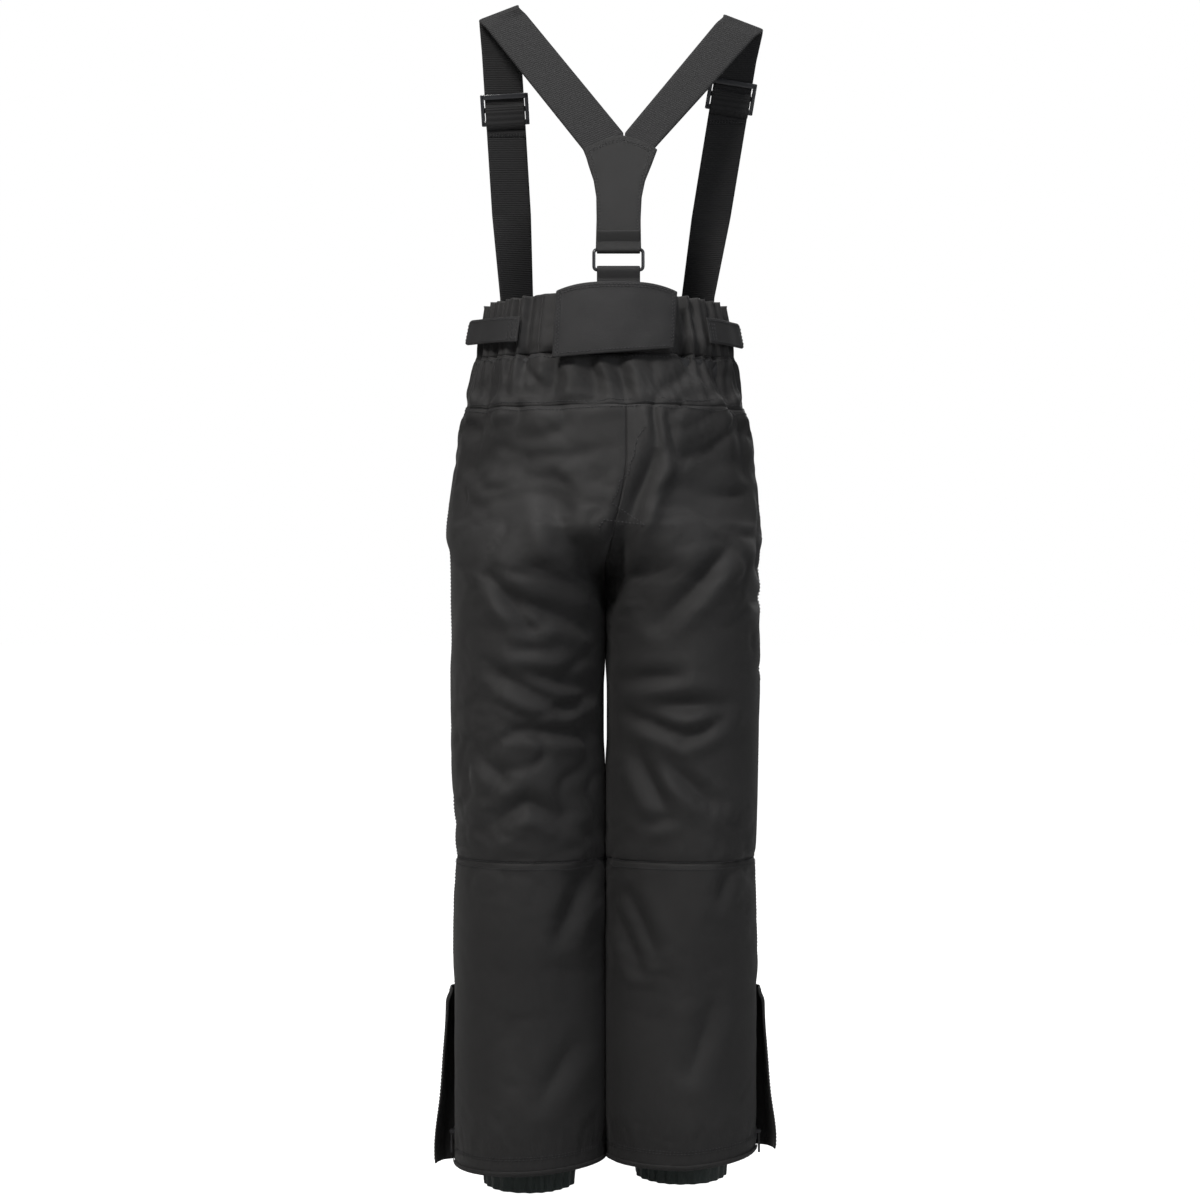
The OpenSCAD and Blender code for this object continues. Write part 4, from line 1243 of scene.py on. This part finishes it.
# Waist tabs, stitched down at the back, their free ends standing off at the sides.
print("tabs and storm flaps")
waistTab = {"fixed": {left: -50, right: -40}, "free": -4, "z": (0.0105, 0.0345), "out": 0.0039,
            "slant": {left: 0.0022, right: -0.0012}, "stands": {left: 0.0062, right: 0.0040}, "round": 0.0016,
            "hooksPhi": (-27, -11), "hooksZ": (0.014, 0.031)}
for side, name in sideNames.items():
    def tabShape(u, v):
        t = waistTab
        z = mix(*t["z"], v) + t["slant"][side] * u - t["round"] * (2 * v - 1) * ease((u - 0.9) / 0.1)
        out = t["out"] + t["stands"][side] * ease((u - 0.55) / 0.45) ** 2
        return mix(t["fixed"][side], t["free"], u), z, out
    place, tabBody = onBody(side, tabShape), name + "_waist_tab"
    clothPiece(name + "_waist_tab_cloth", place, 44, 14, tabBody, flapCloth, tabBody, thickness=0.0020)
    sewOn(name + "_waist_tab_stitches", place, crossed((0.03, 0.08, 0.13, 0.97), (0.1, 0.9), 30, 14), 0.0012,
          Vector((side * 0.6, -0.8, 0)), tabBody)
    clothPiece(name + "_waist_tab_hooks", onBody(side, lambda u, v: (
        mix(*waistTab["hooksPhi"], u), mix(*waistTab["hooksZ"], v),
        tabShape(mix(0.5, 0.8, u), v)[2] - 0.0015)), 10, 8, tabBody, pileCloth, thickness=0.0007)

# Storm flaps over the ankle zips, flaring towards the hem.
storm = {"half": 0.0135, "out": 0.0076, "sewn": 0.0034, "sewnFrom": 0.91, "flare": 0.012, "bow": 0.0024,
         "ripple": 0.0012, "above": 0.006, "below": 0.002}
for side, name in sideNames.items():
    def stormPlace(u, v):
        z = mix(seam["hem"] - storm["below"], ankleTop + storm["above"], v)
        flare = storm["flare"] * (1 - u) * ease((ankleTop - z) / 0.160)
        ripple = storm["ripple"] * math.sin(v * 11 + 2 * u) * (1 - u) * (1 - v)
        stand = mix(storm["out"], storm["sewn"], ease((v - storm["sewnFrom"]) / 0.08))
        off = mix(-0.0008, stand, ease((1 - u) / 0.28))
        x = halfW(seam["hem"]) + off + flare - storm["bow"] * max(0, 1 - 2 * u) ** 2 + ripple
        return Vector((side * x, mix(-storm["half"], storm["half"], u), z + hemLift(0, side) * (1 - v) ** 3))
    sideways, stormBody = Vector((side, 0, 0)), name + "_storm_flap"
    clothPiece(name + "_storm_flap_cloth", stormPlace, 12, 60, stormBody, shellCloth, stormBody,
               thickness=0.0020, towards=sideways)
    lines = [[(0.10, v) for v in ramp(0.02, 0.975, 50)] + [(u, 0.975) for u in ramp(0.10, 0.9, 8)]]
    lines += [[(u, v) for v in ramp(0.975, 0.02, 50)] for u in (0.9, 0.8)]
    lines += [[(u, 0.03) for u in ramp(0.1, 0.9, 8)]]
    sewOn(name + "_storm_flap_stitches", stormPlace, lines, 0.0012, sideways, stormBody)

# Front waist closure under its two snaps.
closure = {"phi": (76, 104), "z": (0.0085, 0.0335), "out": 0.0042, "wave": 0.0001}
closurePlace = onBody(right, lambda u, v: (
    mix(*closure["phi"], u), mix(*closure["z"], v), closure["out"] + closure["wave"] * math.sin(v * 8)))
clothPiece("waist_closure_tab", closurePlace, 24, 12, "waist_closure", flapCloth, "waist_closure",
           thickness=0.0020)
sewOn("waist_closure_stitches", closurePlace, crossed((0.04, 0.96), (0.1, 0.9), 24, 12), 0.0012, -backward,
      "waist_closure")

# Sliders, pullers and snaps keep their own shapes and take their finish here.
for node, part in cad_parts.items():
    material = zipPlastic if "puller" in node else enamel if "slider" in node or "snap" in node else None
    if material:
        part.data.materials.clear()
        part.data.materials.append(material)


# Camera, light and stage.

viewPoint = {"x": -0.005, "away": 2.5, "z": -0.228, "frame": 1.14}
camera = bpy.data.objects.new("camera", bpy.data.cameras.new("camera"))
scene.collection.objects.link(camera)
camera.location = (viewPoint["x"], -viewPoint["away"], viewPoint["z"])
camera.rotation_euler = (math.radians(90), 0, 0)
camera.data.sensor_width = 36
camera.data.lens = 36 * viewPoint["away"] / viewPoint["frame"]
scene.camera = camera


def areaLight(name, place, aim, size, power, colour):
    lamp = bpy.data.lights.new(name, "AREA")
    lamp.size = size
    lamp.energy = power
    lamp.color = colour
    o = bpy.data.objects.new(name, lamp)
    o.location = place
    o.rotation_euler = (Vector(aim) - Vector(place)).to_track_quat("-Z", "Y").to_euler()
    scene.collection.objects.link(o)


areaLight("keyLight", (-0.9, -1.7, 1.75), (0, 0, -0.10), 0.6, 66, (1, 0.98, 0.95))
areaLight("fillLight", (1.7, -2.2, 0.7), (0, 0, -0.1), 1.2, 18, (0.93, 0.96, 1))
areaLight("topLight", (0.1, -0.3, 2.0), (0, 0, 0), 1.0, 22, (1, 1, 1))
areaLight("backLight", (0.6, 2.4, 1.0), (0, 0, -0.2), 1.8, 30, (1, 1, 1))

world = bpy.data.worlds.new("studio")
scene.world = world
world.use_nodes = True
air = world.node_tree
sky = air.nodes["Background"]
sky.inputs["Color"].default_value = (1, 1, 1, 1)
sky.inputs["Strength"].default_value = 0.15
seen = newNode(air, "ShaderNodeBackground", {"Color": (1, 1, 1, 1), "Strength": 1.0})
ray = newNode(air, "ShaderNodeLightPath").outputs["Is Camera Ray"]
choose = newNode(air, "ShaderNodeMixShader", {0: ray, 1: sky.outputs[0], 2: seen.outputs[0]})
air.links.new(choose.outputs[0], air.nodes["World Output"].inputs[0])
scene.view_settings.view_transform = "Standard"

floorMesh = bmesh.new()
bmesh.ops.create_grid(floorMesh, x_segments=1, y_segments=1, size=30)
bmesh.ops.translate(floorMesh, vec=(0, 0, cadBox[0][2] - 0.02), verts=floorMesh.verts[:])
floorData = bpy.data.meshes.new("floor")
floorMesh.to_mesh(floorData)
floorMesh.free()
floor = bpy.data.objects.new("floor", floorData)
scene.collection.objects.link(floor)
floorMat, floorTree, floorShader = principled("paleFloor", 0.9, Base_Color=(0.4, 0.4, 0.4, 1))
floorRay = newNode(floorTree, "ShaderNodeLightPath").outputs["Is Camera Ray"]
colourMix(floorTree, floorRay, (0, 0, 0), (1, 1, 1), floorShader.inputs["Emission Color"])
floorShader.inputs["Emission Strength"].default_value = 1
floorData.materials.append(floorMat)
